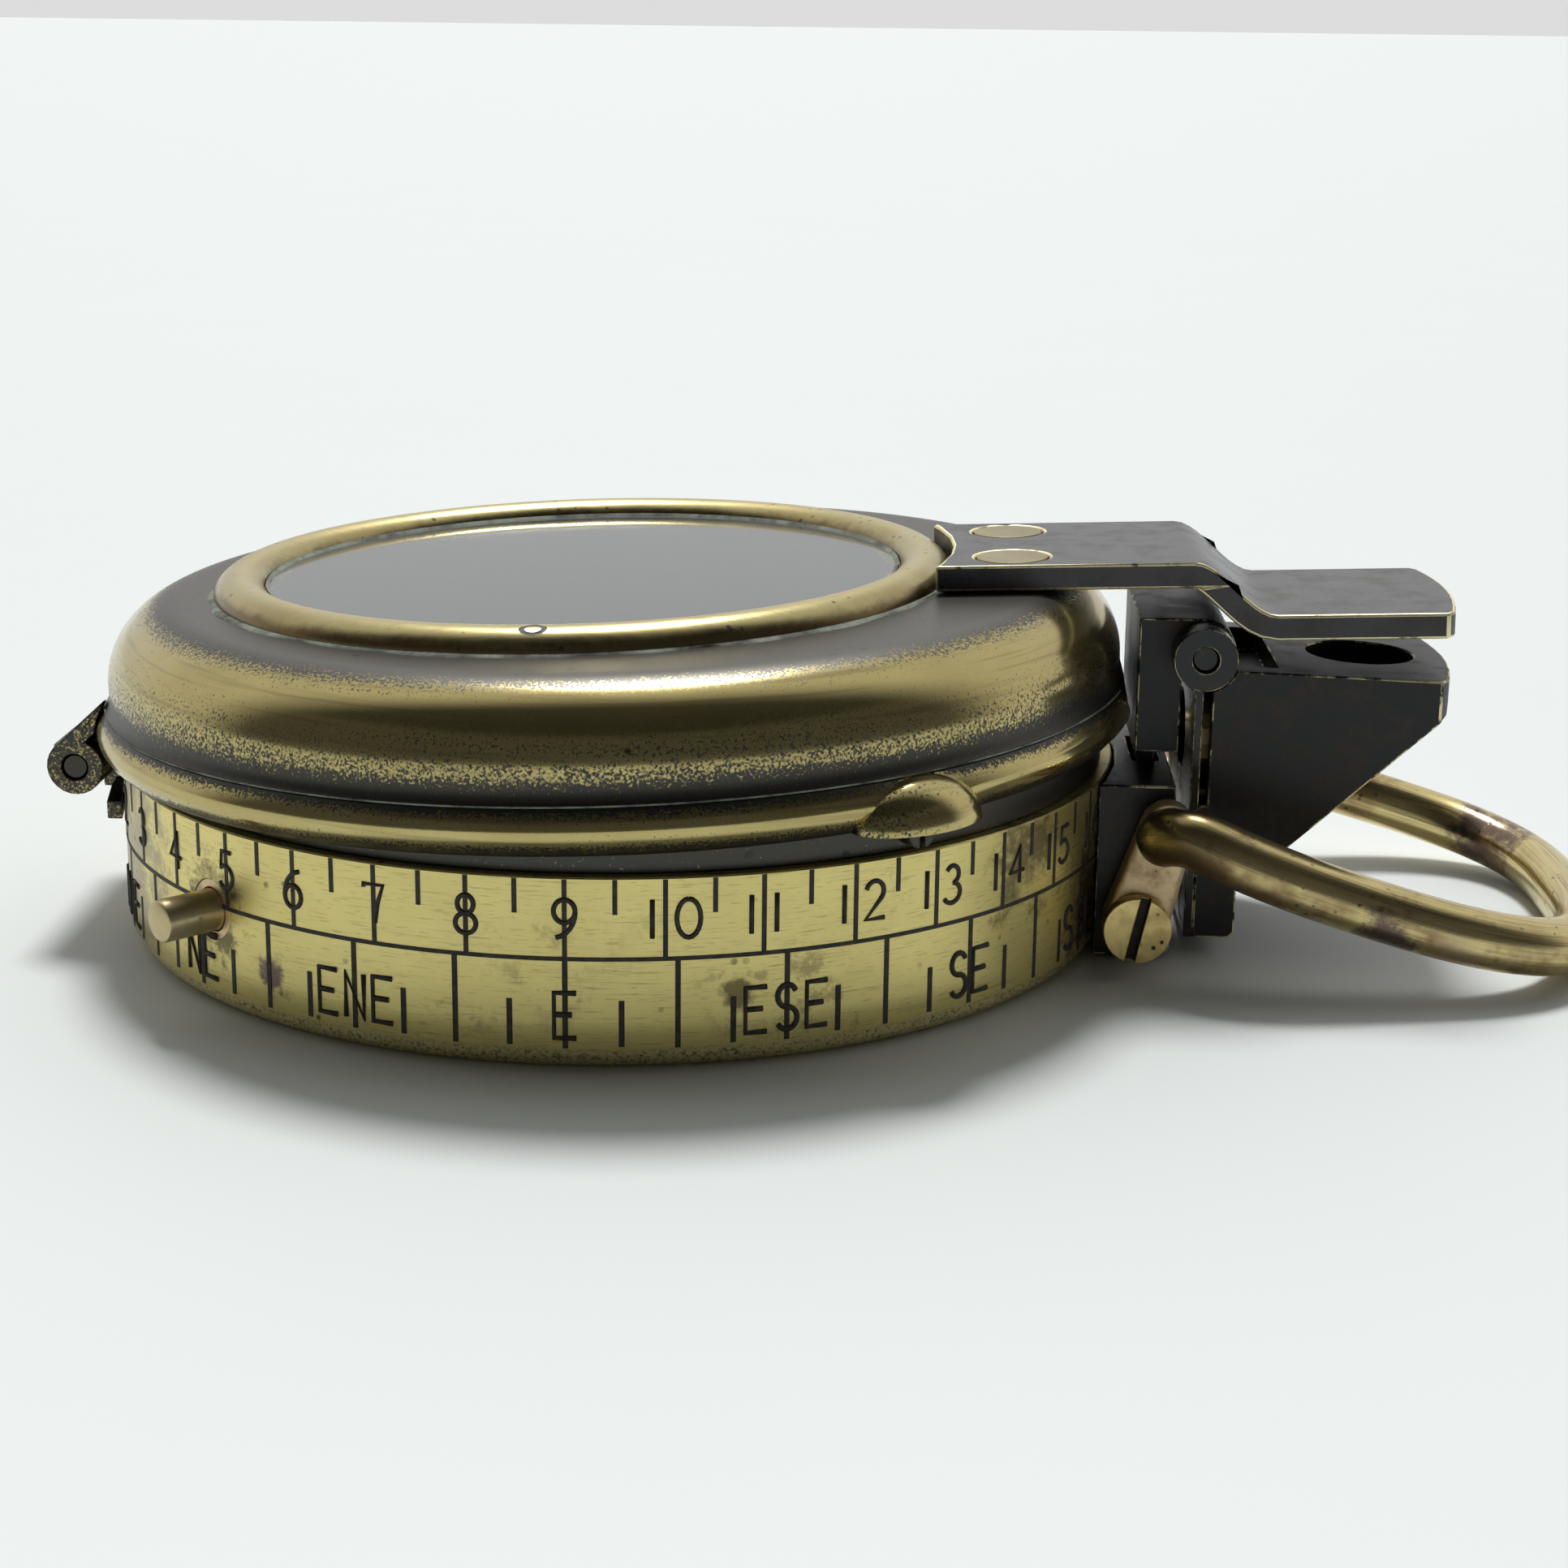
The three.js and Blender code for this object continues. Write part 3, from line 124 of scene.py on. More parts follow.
def ring_mesh(name: str, rings: Sequence[Sequence[Vector]], loop: bool,
              values: Sequence[float] = ()) -> bpy.types.Mesh:
    """Joins rings of equal length into a closed skin.

    Args:
        name: the mesh's name.
        rings: rings of points in metres; a ring of one point is a pole.
        loop: whether the last ring joins the first.
        values: a value for each ring, stored as a point attribute: rubbing, and on the lid painted highlight
            and painted shade.

    Returns:
        The mesh, its faces outwards.
    """
    work = bmesh.new()
    layer = work.verts.layers.float.new("wear")
    made = []
    for i, ring in enumerate(rings):
        verts = [work.verts.new(p) for p in ring]
        for v in verts:
            v[layer] = values[i] if values else 0.0
        made.append(verts)
    pairs = list(zip(made, made[1:])) + ([(made[-1], made[0])] if loop else [])
    for a, b in pairs:
        n = max(len(a), len(b))
        for k in range(n):
            m = (k + 1) % n
            if len(a) == 1:
                work.faces.new((a[0], b[k], b[m]))
            elif len(b) == 1:
                work.faces.new((a[m], a[k], b[0]))
            else:
                work.faces.new((a[m], a[k], b[k], b[m]))
    bmesh.ops.recalc_face_normals(work, faces=work.faces)
    mesh = bpy.data.meshes.new(name)
    work.to_mesh(mesh)
    work.free()
    smoothed(mesh)
    return mesh


def turned(
    name: str,
    profile: Sequence[Point],
    facets: int = 160,
    centre: Point = (0.0, 0.0),
    values: Sequence[float] = (),
) -> bpy.types.Mesh:
    """Turns a closed profile of (radius, height), in millimetres, about an upright axis.

    Args:
        name: the mesh's name.
        profile: points of (radius, height); where it starts and ends at radius 0 it has poles.
        facets: facets round it.
        centre: the axis in X and Y.
        values: for each profile point, a value of rubbing with painted highlight and painted shade in it.

    Returns:
        The mesh.
    """
    rings = []
    for r, z in profile:
        if r < 1e-6:
            rings.append([Vector((centre[0], centre[1], z)) * MM])
            continue
        steps = (2 * math.pi * k / facets for k in range(facets))
        rings.append([Vector((centre[0] + r * math.cos(a), centre[1] + r * math.sin(a),
                              z)) * MM for a in steps])
    poles = profile[0][0] < 1e-6 and profile[-1][0] < 1e-6
    return ring_mesh(name, rings, not poles, values)


def swept(name: str, line: Sequence[Vector], radius: Callable[[float], float],
          sides: int = 40) -> bpy.types.Mesh:
    """Draws a round section along a line, with a UV map of (distance along, turn about).

    Args:
        name: the mesh's name.
        line: the middle line, in metres.
        radius: the section's radius at a share of the length, in metres.
        sides: sides of the section.

    Returns:
        The closed mesh.
    """
    total = len(line)
    tangents = [(line[min(i + 1, total - 1)] - line[max(i - 1, 0)]).normalized() for i in range(total)]
    across = tangents[0].orthogonal().normalized()
    work = bmesh.new()
    uv = work.loops.layers.uv.new("wire")
    rings, lengths, travelled = [], [], 0.0
    for i, p in enumerate(line):
        across = (across - tangents[i] * across.dot(tangents[i])).normalized()
        up = tangents[i].cross(across)
        r = radius(i / (total - 1))
        rings.append([work.verts.new(p + (across * math.cos(a) + up * math.sin(a)) * r)
                      for a in (2 * math.pi * k / sides for k in range(sides))])
        travelled += (p - line[i - 1]).length if i else 0.0
        lengths.append(travelled)
    for i in range(total - 1):
        for k in range(sides):
            m = (k + 1) % sides
            made = work.faces.new((rings[i][k], rings[i][m], rings[i + 1][m], rings[i + 1][k]))
            spots = ((i, k), (i, k + 1), (i + 1, k + 1), (i + 1, k))
            for loop, (row, turn) in zip(made.loops, spots):
                loop[uv].uv = (lengths[row] / MM / 10, turn / sides)
    work.faces.new(list(reversed(rings[0])))
    work.faces.new(rings[-1])
    bmesh.ops.recalc_face_normals(work, faces=work.faces)
    mesh = bpy.data.meshes.new(name)
    work.to_mesh(mesh)
    work.free()
    smoothed(mesh, 50)
    return mesh


def cylinder(name: str, start: Vector, end: Vector, radius: float, sides: int = 48) -> bpy.types.Object:
    """A plain cutter between two points, sizes in metres, for holes and notches.

    Args:
        name: the cutter's name.
        start: the middle of one end, in metres.
        end: the middle of the other end, in metres.
        radius: its radius, in metres.
        sides: its number of sides.

    Returns:
        The cutter.
    """
    axis = end - start
    work = bmesh.new()
    bmesh.ops.create_cone(work, cap_ends=True, segments=sides, radius1=radius, radius2=radius,
                          depth=axis.length)
    mesh = bpy.data.meshes.new(name)
    work.to_mesh(mesh)
    work.free()
    mesh.transform(Matrix.Translation((start + end) / 2) @ axis.to_track_quat("Z", "Y").to_matrix().to_4x4())
    return linked(name, mesh)


def cuboid(name: str, low: Sequence[float], high: Sequence[float]) -> bpy.types.Object:
    """A plain box cutter between two corners, in metres.

    Args:
        name: the cutter's name.
        low: its lowest corner, in metres.
        high: its highest corner, in metres.

    Returns:
        The cutter.
    """
    work = bmesh.new()
    bmesh.ops.create_cube(work, size=1.0)
    mesh = bpy.data.meshes.new(name)
    work.to_mesh(mesh)
    work.free()
    a, b = Vector(low), Vector(high)
    mesh.transform(Matrix.Translation((a + b) / 2) @ Matrix.Diagonal((*(b - a), 1.0)))
    return linked(name, mesh)


def settled(piece: bpy.types.Object, sharp: float = 35.0) -> bpy.types.Object:
    """Applies a piece's modifiers and shades it smooth.

    Args:
        piece: an object with live modifiers.
        sharp: the angle above which an edge stays sharp, in degrees.

    Returns:
        The same object with a plain mesh.
    """
    bpy.context.view_layer.update()
    seen = piece.evaluated_get(bpy.context.evaluated_depsgraph_get())
    mesh = bpy.data.meshes.new_from_object(seen)
    piece.modifiers.clear()
    piece.data = mesh
    smoothed(mesh, sharp)
    return piece


def combined(
    piece: bpy.types.Object, operation: str, tools: Iterable[bpy.types.Object], sharp: float = 35.0
) -> bpy.types.Object:
    """Cuts or joins a piece with others, which are then removed.

    Args:
        piece: the piece that stays.
        operation: DIFFERENCE, UNION or INTERSECT.
        tools: the other closed shapes.
        sharp: the angle above which an edge stays sharp, in degrees.

    Returns:
        The piece with its new mesh.
    """
    tools = list(tools)
    for tool in tools:
        step = piece.modifiers.new("shape", "BOOLEAN")
        step.operation = operation
        step.solver = "EXACT"
        step.object = tool
    settled(piece, sharp)
    for tool in tools:
        bpy.data.objects.remove(tool)
    return piece


def refined(node: str, name: str, bevel: float, worn: bool = False, sharp: float = 32.0) -> bpy.types.Object:
    """A finer copy of a CAD node: its flats made whole and its edges rounded.

    Args:
        node: the CAD node that the piece stands for.
        name: the piece's name.
        bevel: width of the rounded edges, in millimetres.
        worn: whether the rounded edges take the piece's second material.
        sharp: the angle above which an edge is rounded, in degrees.

    Returns:
        The new object, with no material yet.
    """
    work = bmesh.new()
    work.from_mesh(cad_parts[node].data)
    bmesh.ops.remove_doubles(work, verts=work.verts, dist=0.01 * MM)
    bmesh.ops.dissolve_limit(work, angle_limit=math.radians(1.2), verts=work.verts, edges=work.edges)
    mesh = bpy.data.meshes.new(name)
    work.to_mesh(mesh)
    work.free()
    mesh.materials.clear()
    piece = linked(name, mesh)
    step = piece.modifiers.new("edges", "BEVEL")
    step.width = bevel * MM
    step.segments = 2
    step.limit_method = "ANGLE"
    step.angle_limit = math.radians(sharp)
    step.use_clamp_overlap = False
    if worn:
        mesh.materials.append(None)
        mesh.materials.append(None)
        step.material = 1
    settled(piece, 40)
    flats = piece.modifiers.new("flats", "WEIGHTED_NORMAL")
    flats.keep_sharp = True
    bpy.context.view_layer.update()
    seen = piece.evaluated_get(bpy.context.evaluated_depsgraph_get())
    shaded = bpy.data.meshes.new_from_object(seen)
    piece.modifiers.clear()
    piece.data = shaded
    return piece


# ------------------------------------------------------------------ materials


class Shader:
    """One material's nodes, built by short calls."""

    def __init__(self, name: str) -> None:
        """Starts a material with a Principled shader.

        Args:
            name: the material's name.
        """
        self.material = bpy.data.materials.new(name)
        self.material.use_nodes = True
        self.tree = self.material.node_tree
        self.surface = self.tree.nodes["Principled BSDF"]
        self.place = self.tree.nodes.new("ShaderNodeTexCoord").outputs["Object"]

    def put(self, socket: bpy.types.NodeSocket, value: object) -> None:
        """Links an output to a socket, or sets a plain value on it.

        Args:
            socket: the input socket.
            value: an output, a colour or a number.
        """
        if isinstance(value, bpy.types.NodeSocket):
            self.tree.links.new(value, socket)
        elif isinstance(value, tuple) and len(value) == 3 and socket.type == "RGBA":
            socket.default_value = (*value, 1.0)
        else:
            socket.default_value = value

    def add(self, kind: str, inputs: dict[int | str, object] | None = None,
            **settings: object) -> bpy.types.Node:
        """Adds a node.

        Args:
            kind: the node's type, without its ShaderNode prefix.
            inputs: values or outputs for its sockets, by name or number.
            settings: the node's own properties.

        Returns:
            The node.
        """
        node = self.tree.nodes.new("ShaderNode" + kind)
        for key, value in settings.items():
            setattr(node, key, value)
        for key, value in (inputs or {}).items():
            self.put(node.inputs[key], value)
        return node

    def calc(self, operation: str, *values: object) -> bpy.types.NodeSocket:
        """The result of a Math node on some values or outputs."""
        return self.add("Math", dict(enumerate(values)), operation=operation).outputs[0]

    def noise(self, scale: float, detail: float = 3.0, rough: float = 0.55,
              place: object = None) -> bpy.types.NodeSocket:
        """Noise of a scale per metre, from 0 to 1."""
        inputs = {"Vector": place or self.place, "Scale": scale, "Detail": detail, "Roughness": rough}
        return self.add("TexNoise", inputs).outputs[0]

    def spots(self, scale: float, size: float, soft: float, place: object = None) -> bpy.types.NodeSocket:
        """Scattered round spots: 1 in a spot, 0 outside."""
        cells = self.add("TexVoronoi", {"Vector": place or self.place, "Scale": scale}).outputs["Distance"]
        return self.band(cells, size + soft, size)

    def band(self, value: object, low: float, high: float) -> bpy.types.NodeSocket:
        """A smooth step from 0 at low to 1 at high; low may be the larger.

        Args:
            value: the number to read.
            low: where the step is 0.
            high: where the step is 1.

        Returns:
            The step.
        """
        inputs = {0: value, 1: low, 2: high, 3: 0.0, 4: 1.0}
        if low > high:
            inputs = {0: value, 1: high, 2: low, 3: 1.0, 4: 0.0}
        return self.add("MapRange", inputs, interpolation_type="SMOOTHSTEP").outputs[0]

    def blend(self, share: object, a: object, b: object) -> bpy.types.NodeSocket:
        """A colour between a and b.

        Args:
            share: 0 for a, 1 for b.
            a: the first colour.
            b: the second colour.

        Returns:
            The colour.
        """
        node = self.add("Mix", {}, data_type="RGBA")
        self.put(node.inputs[0], share)
        self.put(node.inputs[6], a)
        self.put(node.inputs[7], b)
        return node.outputs[2]

    def stained(self, colour: object, torn: object, stains: Sequence[ColourPatch], ragged: float,
                soft: float) -> object:
        """A colour with round patches laid over it, their edges made ragged: real stains and painted shade.

        Args:
            colour: the colour under them.
            torn: the noise that makes their edges ragged.
            stains: the patches, stains and painted shade: the middle and the reach of each in millimetres,
                its share and its colour.
            ragged: how far the noise moves an edge, against the stain's reach.
            soft: how far in an edge is full, against the stain's reach.

        Returns:
            The colour.
        """
        for (x, y, z), reach, share, tone in stains:
            spot = (x * MM, y * MM, z * MM)
            away = self.add("VectorMath", {0: self.place, 1: spot}, operation="DISTANCE").outputs[1]
            edge = self.calc("MULTIPLY", self.calc("SUBTRACT", torn, 0.5), ragged * reach * MM)
            mask = self.calc("MULTIPLY",
                             self.band(self.calc("ADD", away, edge), reach * MM, soft * reach * MM), share)
            colour = self.blend(mask, colour, tone)
        return colour

    def lerp(self, share: object, a: object, b: object) -> bpy.types.NodeSocket:
        """A number between a and b."""
        node = self.add("Mix", {0: share, 2: a, 3: b}, data_type="FLOAT")
        return node.outputs[0]

    def stretched(self, scale: tuple[float, float, float],
                  turn: Colour = (0.0, 0.0, 0.0)) -> bpy.types.NodeSocket:
        """Object coordinates with each axis scaled, for grain that runs one way."""
        return self.add("Mapping", {0: self.place, 2: turn, 3: scale}).outputs[0]

    def around(self, radius: float) -> bpy.types.NodeSocket:
        """Coordinates wrapped round the Z axis: distance round, height, distance out, in metres.

        Args:
            radius: the radius at which distance round is true, in metres.

        Returns:
            The coordinates.
        """
        parts = self.add("SeparateXYZ", {0: self.place}).outputs
        angle = self.calc("ARCTAN2", parts[1], parts[0])
        out = self.calc("SQRT", self.calc("ADD", self.calc("MULTIPLY", parts[0], parts[0]),
                                          self.calc("MULTIPLY", parts[1], parts[1])))
        return self.add("CombineXYZ",
                        {0: self.calc("MULTIPLY", angle, radius), 1: parts[2], 2: out}).outputs[0]

    def scaled(self, place: object, scale: tuple[float, float, float]) -> bpy.types.NodeSocket:
        """A vector with each part scaled."""
        return self.add("Mapping", {0: place, 3: scale}).outputs[0]

    def finish(self, colour: object, metal: object, rough: object, height: object = None,
               depth: float = 0.01, strength: float = 0.5) -> bpy.types.Material:
        """Sets the main sockets.

        Args:
            colour: base colour.
            metal: metallic share.
            rough: roughness.
            height: bump height, from 0 to 1.
            depth: bump depth in millimetres.
            strength: bump strength.

        Returns:
            The material.
        """
        self.put(self.surface.inputs["Base Color"], colour)
        self.put(self.surface.inputs["Metallic"], metal)
        self.put(self.surface.inputs["Roughness"], rough)
        if height is not None:
            bump = self.add("Bump", {"Height": height, "Distance": depth * MM, "Strength": strength})
            self.tree.links.new(bump.outputs[0], self.surface.inputs["Normal"])
        return self.material


@dataclass(frozen=True)
class Patina:
    """Dark chemical bronze over brass, rubbed through in grains where it is handled; on the lid the rubbing
    value also paints highlights and shade.
    """

    name: str
    brass: Colour = (0.62, 0.53, 0.23)
    dark: Colour = (0.068, 0.068, 0.066)
    worn: float = 0.35
    grain: float = 7200.0
    use_wear: bool = False

    def material(self) -> bpy.types.Material:
        """Builds the material; with the flag set, it reads the piece's own rubbing attribute, which also
        carries painted highlight and painted shade.

        Returns:
            The material.
        """
        s = Shader(self.name)
        wear = s.add("Attribute", {}, attribute_name="wear").outputs["Fac"] if self.use_wear else self.worn
        wrap = s.around(27 * MM)
        fine = s.noise(self.grain, 2.0, 0.6)
        broad = s.noise(130.0, 4.0, 0.6)
        streak = s.noise(1.0, 3.0, 0.6, s.scaled(wrap, (60.0, 2600.0, 2600.0)))
        drift = s.calc("ADD", s.calc("MULTIPLY", s.calc("SUBTRACT", broad, 0.5), 0.30),
                       s.calc("MULTIPLY", s.calc("SUBTRACT", streak, 0.5), 0.55))
        level = s.calc("ADD", wear, s.calc("MULTIPLY", drift, s.calc("ADD", wear, 0.15)))
        cut = s.lerp(level, 0.76, 0.24)
        rubbed = s.add("MapRange", {0: fine, 1: s.calc("SUBTRACT", cut, 0.10), 2: s.calc("ADD", cut, 0.10),
                                    3: 0.0, 4: 1.0}, interpolation_type="SMOOTHSTEP").outputs[0]
        tint = s.blend(s.noise(420.0, 3.0), self.dark, (0.080, 0.072, 0.056))
        stain = s.band(s.noise(900.0, 4.0, 0.7), 0.60, 0.72)
        bronze = s.blend(s.calc("MULTIPLY", stain, 0.5), tint, (0.030, 0.028, 0.030))
        gold = s.blend(s.noise(260.0, 3.0), self.brass, (0.44, 0.35, 0.14))
        gold = s.blend(s.calc("MULTIPLY", s.band(streak, 0.50, 0.70), 0.45), gold, (0.20, 0.165, 0.085))
        pits = s.calc("MULTIPLY", s.spots(650.0, 0.10, 0.08), s.band(s.noise(300.0, 2.0), 0.56, 0.64))
        colour = s.blend(s.calc("MULTIPLY", pits, 0.85), s.blend(rubbed, bronze, gold), (0.02, 0.018, 0.016))
        rough = s.lerp(rubbed, 0.38, 0.15)
        scratches = s.noise(1.0, 2.0, 0.5, s.stretched((900.0, 9000.0, 9000.0), (0.2, 0.1, 0.4)))
        height = s.calc("ADD", s.calc("MULTIPLY", fine, 0.7), s.calc("MULTIPLY", scratches, 0.3))
        return s.finish(colour, 0.93, rough, s.calc("SUBTRACT", height, pits), 0.005, 0.3)


@dataclass(frozen=True)
class BandBrass:
    """Pale drawn brass of the engraved band, brushed round and pitted, with stains and patches of painted
    shade.
    """

    name: str = "band_brass"
    radius: float = 26.5
    spots: tuple[ColourPatch, ...] = (
        # Painted shadow round the brake pin.
        ((-18.1, -19.4, 5.4), 2.7, 0.85, (0.10, 0.075, 0.045)),
        ((-14.6, -22.1, 2.9), 1.3, 0.9, (0.13, 0.085, 0.10)),
        ((21.5, -15.6, 7.5), 3.2, 0.75, (0.15, 0.105, 0.055)),
        ((25.2, -8.4, 4.0), 4.5, 0.8, (0.13, 0.09, 0.05)),
        # Painted shade dimming the band's left end.
        ((-24.2, -10.8, 5.0), 7.5, 0.75, (0.36, 0.31, 0.20)),
        ((8.0, -25.3, 3.8), 0.9, 0.8, (0.10, 0.075, 0.04)),
    )

    def material(self) -> bpy.types.Material:
        """Builds the material on coordinates wrapped round the case.

        Returns:
            The material.
        """
        s = Shader(self.name)
        wrap = s.around(self.radius * MM)
        brush = s.noise(1.0, 4.0, 0.6, s.scaled(wrap, (350.0, 9000.0, 500.0)))
        cloud = s.noise(210.0, 4.0, 0.6, wrap)
        pits = s.calc("MULTIPLY", s.spots(900.0, 0.10, 0.10, wrap),
                      s.band(s.noise(330.0, 2.0, 0.5, wrap), 0.56, 0.66))
        torn = s.noise(520.0, 6.0, 0.72, wrap)
        stains = s.calc("MULTIPLY", s.band(torn, 0.50, 0.64),
                        s.band(s.noise(120.0, 3.0, 0.5, wrap), 0.50, 0.64))
        parts = s.add("SeparateXYZ", {0: s.place}).outputs
        foot = s.band(parts[2], 1.35 * MM, 0.95 * MM)
        warm = s.blend(cloud, (0.92, 0.80, 0.32), (0.74, 0.63, 0.24))
        warm = s.blend(s.calc("MULTIPLY", s.band(brush, 0.55, 0.75), 0.45), warm, (0.34, 0.27, 0.12))
        warm = s.blend(s.calc("MULTIPLY", stains, 0.55), warm, (0.19, 0.135, 0.085))
        scores = s.noise(1.0, 2.0, 0.5, s.scaled(wrap, (900.0, 12000.0, 900.0)))
        warm = s.blend(s.calc("MULTIPLY", s.band(scores, 0.60, 0.68), 0.35), warm, (0.25, 0.20, 0.09))
        warm = s.stained(warm, torn, self.spots, 3.4, 0.30)
        warm = s.blend(s.calc("MULTIPLY", pits, 0.8), warm, (0.06, 0.045, 0.03))
        grit = s.noise(5200.0, 3.0, 0.7, wrap)
        rim = s.blend(s.band(grit, 0.30, 0.56), (0.24, 0.20, 0.11), (0.84, 0.74, 0.38))
        colour = s.blend(foot, warm, rim)
        rough = s.lerp(brush, 0.30, 0.46)
        height = s.calc("SUBTRACT", s.calc("MULTIPLY", brush, 0.5),
                        s.calc("ADD", pits, s.calc("MULTIPLY", foot, grit)))
        return s.finish(colour, 0.88, rough, height, 0.012, 0.45)


@dataclass(frozen=True)
class PolishedBrass:
    """Bright handled brass with specks, brown film and fine scratches, and optionally painted shade on its
    flanks.
    """

    name: str
    bright: Colour = (0.72, 0.56, 0.24)
    film: Colour = (0.30, 0.18, 0.075)
    film_share: float = 0.5
    specks: float = 0.5
    rough: float = 0.22
    broad: float = 170.0
    flank: float = 0.0

    def material(self) -> bpy.types.Material:
        """Builds the material.

        Returns:
            The material.
        """
        s = Shader(self.name)
        film = s.calc("MULTIPLY", s.band(s.noise(self.broad, 4.0, 0.62), 0.47, 0.68), self.film_share)
        colour = s.blend(film, self.bright, self.film)
        # Painted shade: faces that turn from upright are darkened towards brown, ragged with noise.
        if self.flank:
            facing = s.add("SeparateXYZ", {0: s.add("NewGeometry").outputs["Normal"]}).outputs[2]
            low = s.calc("ADD", facing,
                         s.calc("MULTIPLY", s.calc("SUBTRACT", s.noise(330.0, 5.0, 0.7), 0.5), 0.9))
            colour = s.blend(s.calc("MULTIPLY", s.band(low, 0.80, 0.35), self.flank), colour,
                             (0.15, 0.095, 0.045))
        fine = s.band(s.noise(2600.0, 3.0, 0.65), 0.60, 0.70)
        specks = s.calc("MULTIPLY", s.spots(1300.0, 0.12, 0.10), s.band(s.noise(420.0, 2.0), 0.52, 0.62))
        colour = s.blend(s.calc("MULTIPLY", fine, 0.35 * self.specks), colour, (0.22, 0.14, 0.06))
        colour = s.blend(s.calc("MULTIPLY", specks, self.specks), colour, (0.05, 0.035, 0.03))
        scratch = s.noise(1.0, 2.0, 0.5, s.stretched((700.0, 8000.0, 5000.0), (0.3, 0.0, 0.7)))
        rough = s.calc("ADD", s.calc("MULTIPLY", film, 0.16), s.lerp(scratch, self.rough, self.rough + 0.14))
        height = s.calc("SUBTRACT", s.calc("MULTIPLY", scratch, 0.4), specks)
        return s.finish(colour, 0.95, rough, height, 0.008, 0.35)


@dataclass(frozen=True)
class WireBrass:
    """Drawn brass wire: lines along it, brown and violet tarnish in patches."""

    name: str = "ring_wire"
    spots: tuple[ColourPatch, ...] = (
        ((39.5, -14.0, 2.6), 2.6, 0.85, (0.10, 0.065, 0.075)),
        ((35.0, -13.8, 3.2), 2.2, 0.7, (0.20, 0.13, 0.06)),
        ((43.0, -13.0, 2.2), 2.4, 0.6, (0.55, 0.42, 0.26)),
        ((48.8, 8.5, 2.4), 3.0, 0.85, (0.11, 0.07, 0.08)),
        ((42.0, 12.0, 4.0), 2.5, 0.5, (0.30, 0.19, 0.08)),
    )

    def material(self) -> bpy.types.Material:
        """Builds the material on the wire's own UV map.

        Returns:
            The material.
        """
        s = Shader(self.name)
        uv = s.add("UVMap", {}, uv_map="wire").outputs[0]
        along = s.add("Mapping", {0: uv, 3: (0.35, 22.0, 1.0)}).outputs[0]
        draw = s.noise(5.0, 5.0, 0.6, along)
        patch = s.band(s.noise(95.0, 5.0, 0.66), 0.44, 0.60)
        violet = s.band(s.noise(150.0, 4.0, 0.6), 0.60, 0.68)
        dark = s.band(s.noise(210.0, 5.0, 0.7), 0.60, 0.72)
        parts = s.add("SeparateXYZ", {0: s.add("NewGeometry").outputs["Normal"]}).outputs
        under = s.band(parts[2], 0.45, -0.25)
        colour = s.blend(s.band(draw, 0.46, 0.66), (0.74, 0.62, 0.29), (0.44, 0.33, 0.15))
        shade = s.calc("MULTIPLY", patch, s.calc("ADD", 0.25, s.calc("MULTIPLY", under, 0.75)))
        colour = s.blend(shade, colour, (0.24, 0.15, 0.075))
        colour = s.blend(s.calc("MULTIPLY", violet, s.calc("MULTIPLY", under, 0.75)), colour,
                         (0.115, 0.075, 0.085))
        colour = s.blend(s.calc("MULTIPLY", dark, 0.6), colour, (0.09, 0.06, 0.035))
        spot = s.add("SeparateXYZ", {0: s.place}).outputs
        ragged = s.calc("ADD", spot[0],
                        s.calc("MULTIPLY", s.calc("SUBTRACT", s.noise(300.0, 4.0), 0.5), 4 * MM))
        bend = s.band(ragged, 32.8 * MM, 29.6 * MM)
        colour = s.blend(s.calc("MULTIPLY", bend, 0.50), colour, (0.14, 0.105, 0.05))
        torn = s.noise(420.0, 5.0, 0.7)
        colour = s.stained(colour, torn, self.spots, 3.0, 0.4)
        specks = s.calc("MULTIPLY", s.spots(1500.0, 0.12, 0.10), s.band(s.noise(400.0, 2.0), 0.50, 0.62))
        colour = s.blend(s.calc("MULTIPLY", specks, 0.7), colour, (0.05, 0.035, 0.03))
        rough = s.lerp(shade, 0.19, 0.42)
        return s.finish(colour, 0.93, rough, s.calc("SUBTRACT", draw, specks), 0.012, 0.5)


@dataclass(frozen=True)
class BlackBrass:
    """Brass blackened all over, satin, with faint brown mottling and rubbed spots."""

    name: str
    base: Colour = (0.016, 0.016, 0.018)
    brown: Colour = (0.045, 0.034, 0.024)
    rubbed: float = 0.25
    rough: float = 0.40

    def material(self) -> bpy.types.Material:
        """Builds the material.

        Returns:
            The material.
        """
        s = Shader(self.name)
        mottle = s.band(s.noise(480.0, 5.0, 0.65), 0.45, 0.70)
        colour = s.blend(mottle, self.base, self.brown)
        rub = s.band(s.noise(2300.0, 4.0, 0.7), 0.66, 0.78)
        rub = s.calc("MULTIPLY", rub, s.band(s.noise(190.0, 3.0), 0.48, 0.66))
        colour = s.blend(s.calc("MULTIPLY", rub, self.rubbed), colour, (0.30, 0.23, 0.12))
        fine = s.noise(6000.0, 2.0, 0.6)
        scratch = s.noise(1.0, 2.0, 0.5, s.stretched((500.0, 7000.0, 7000.0), (0.1, 0.5, 0.2)))
        rough = s.lerp(s.calc("ADD", s.calc("MULTIPLY", mottle, 0.6), s.calc("MULTIPLY", scratch, 0.4)),
                       self.rough - 0.06, self.rough + 0.12)
        return s.finish(colour, 0.35, rough, s.calc("ADD", fine, scratch), 0.006, 0.4)


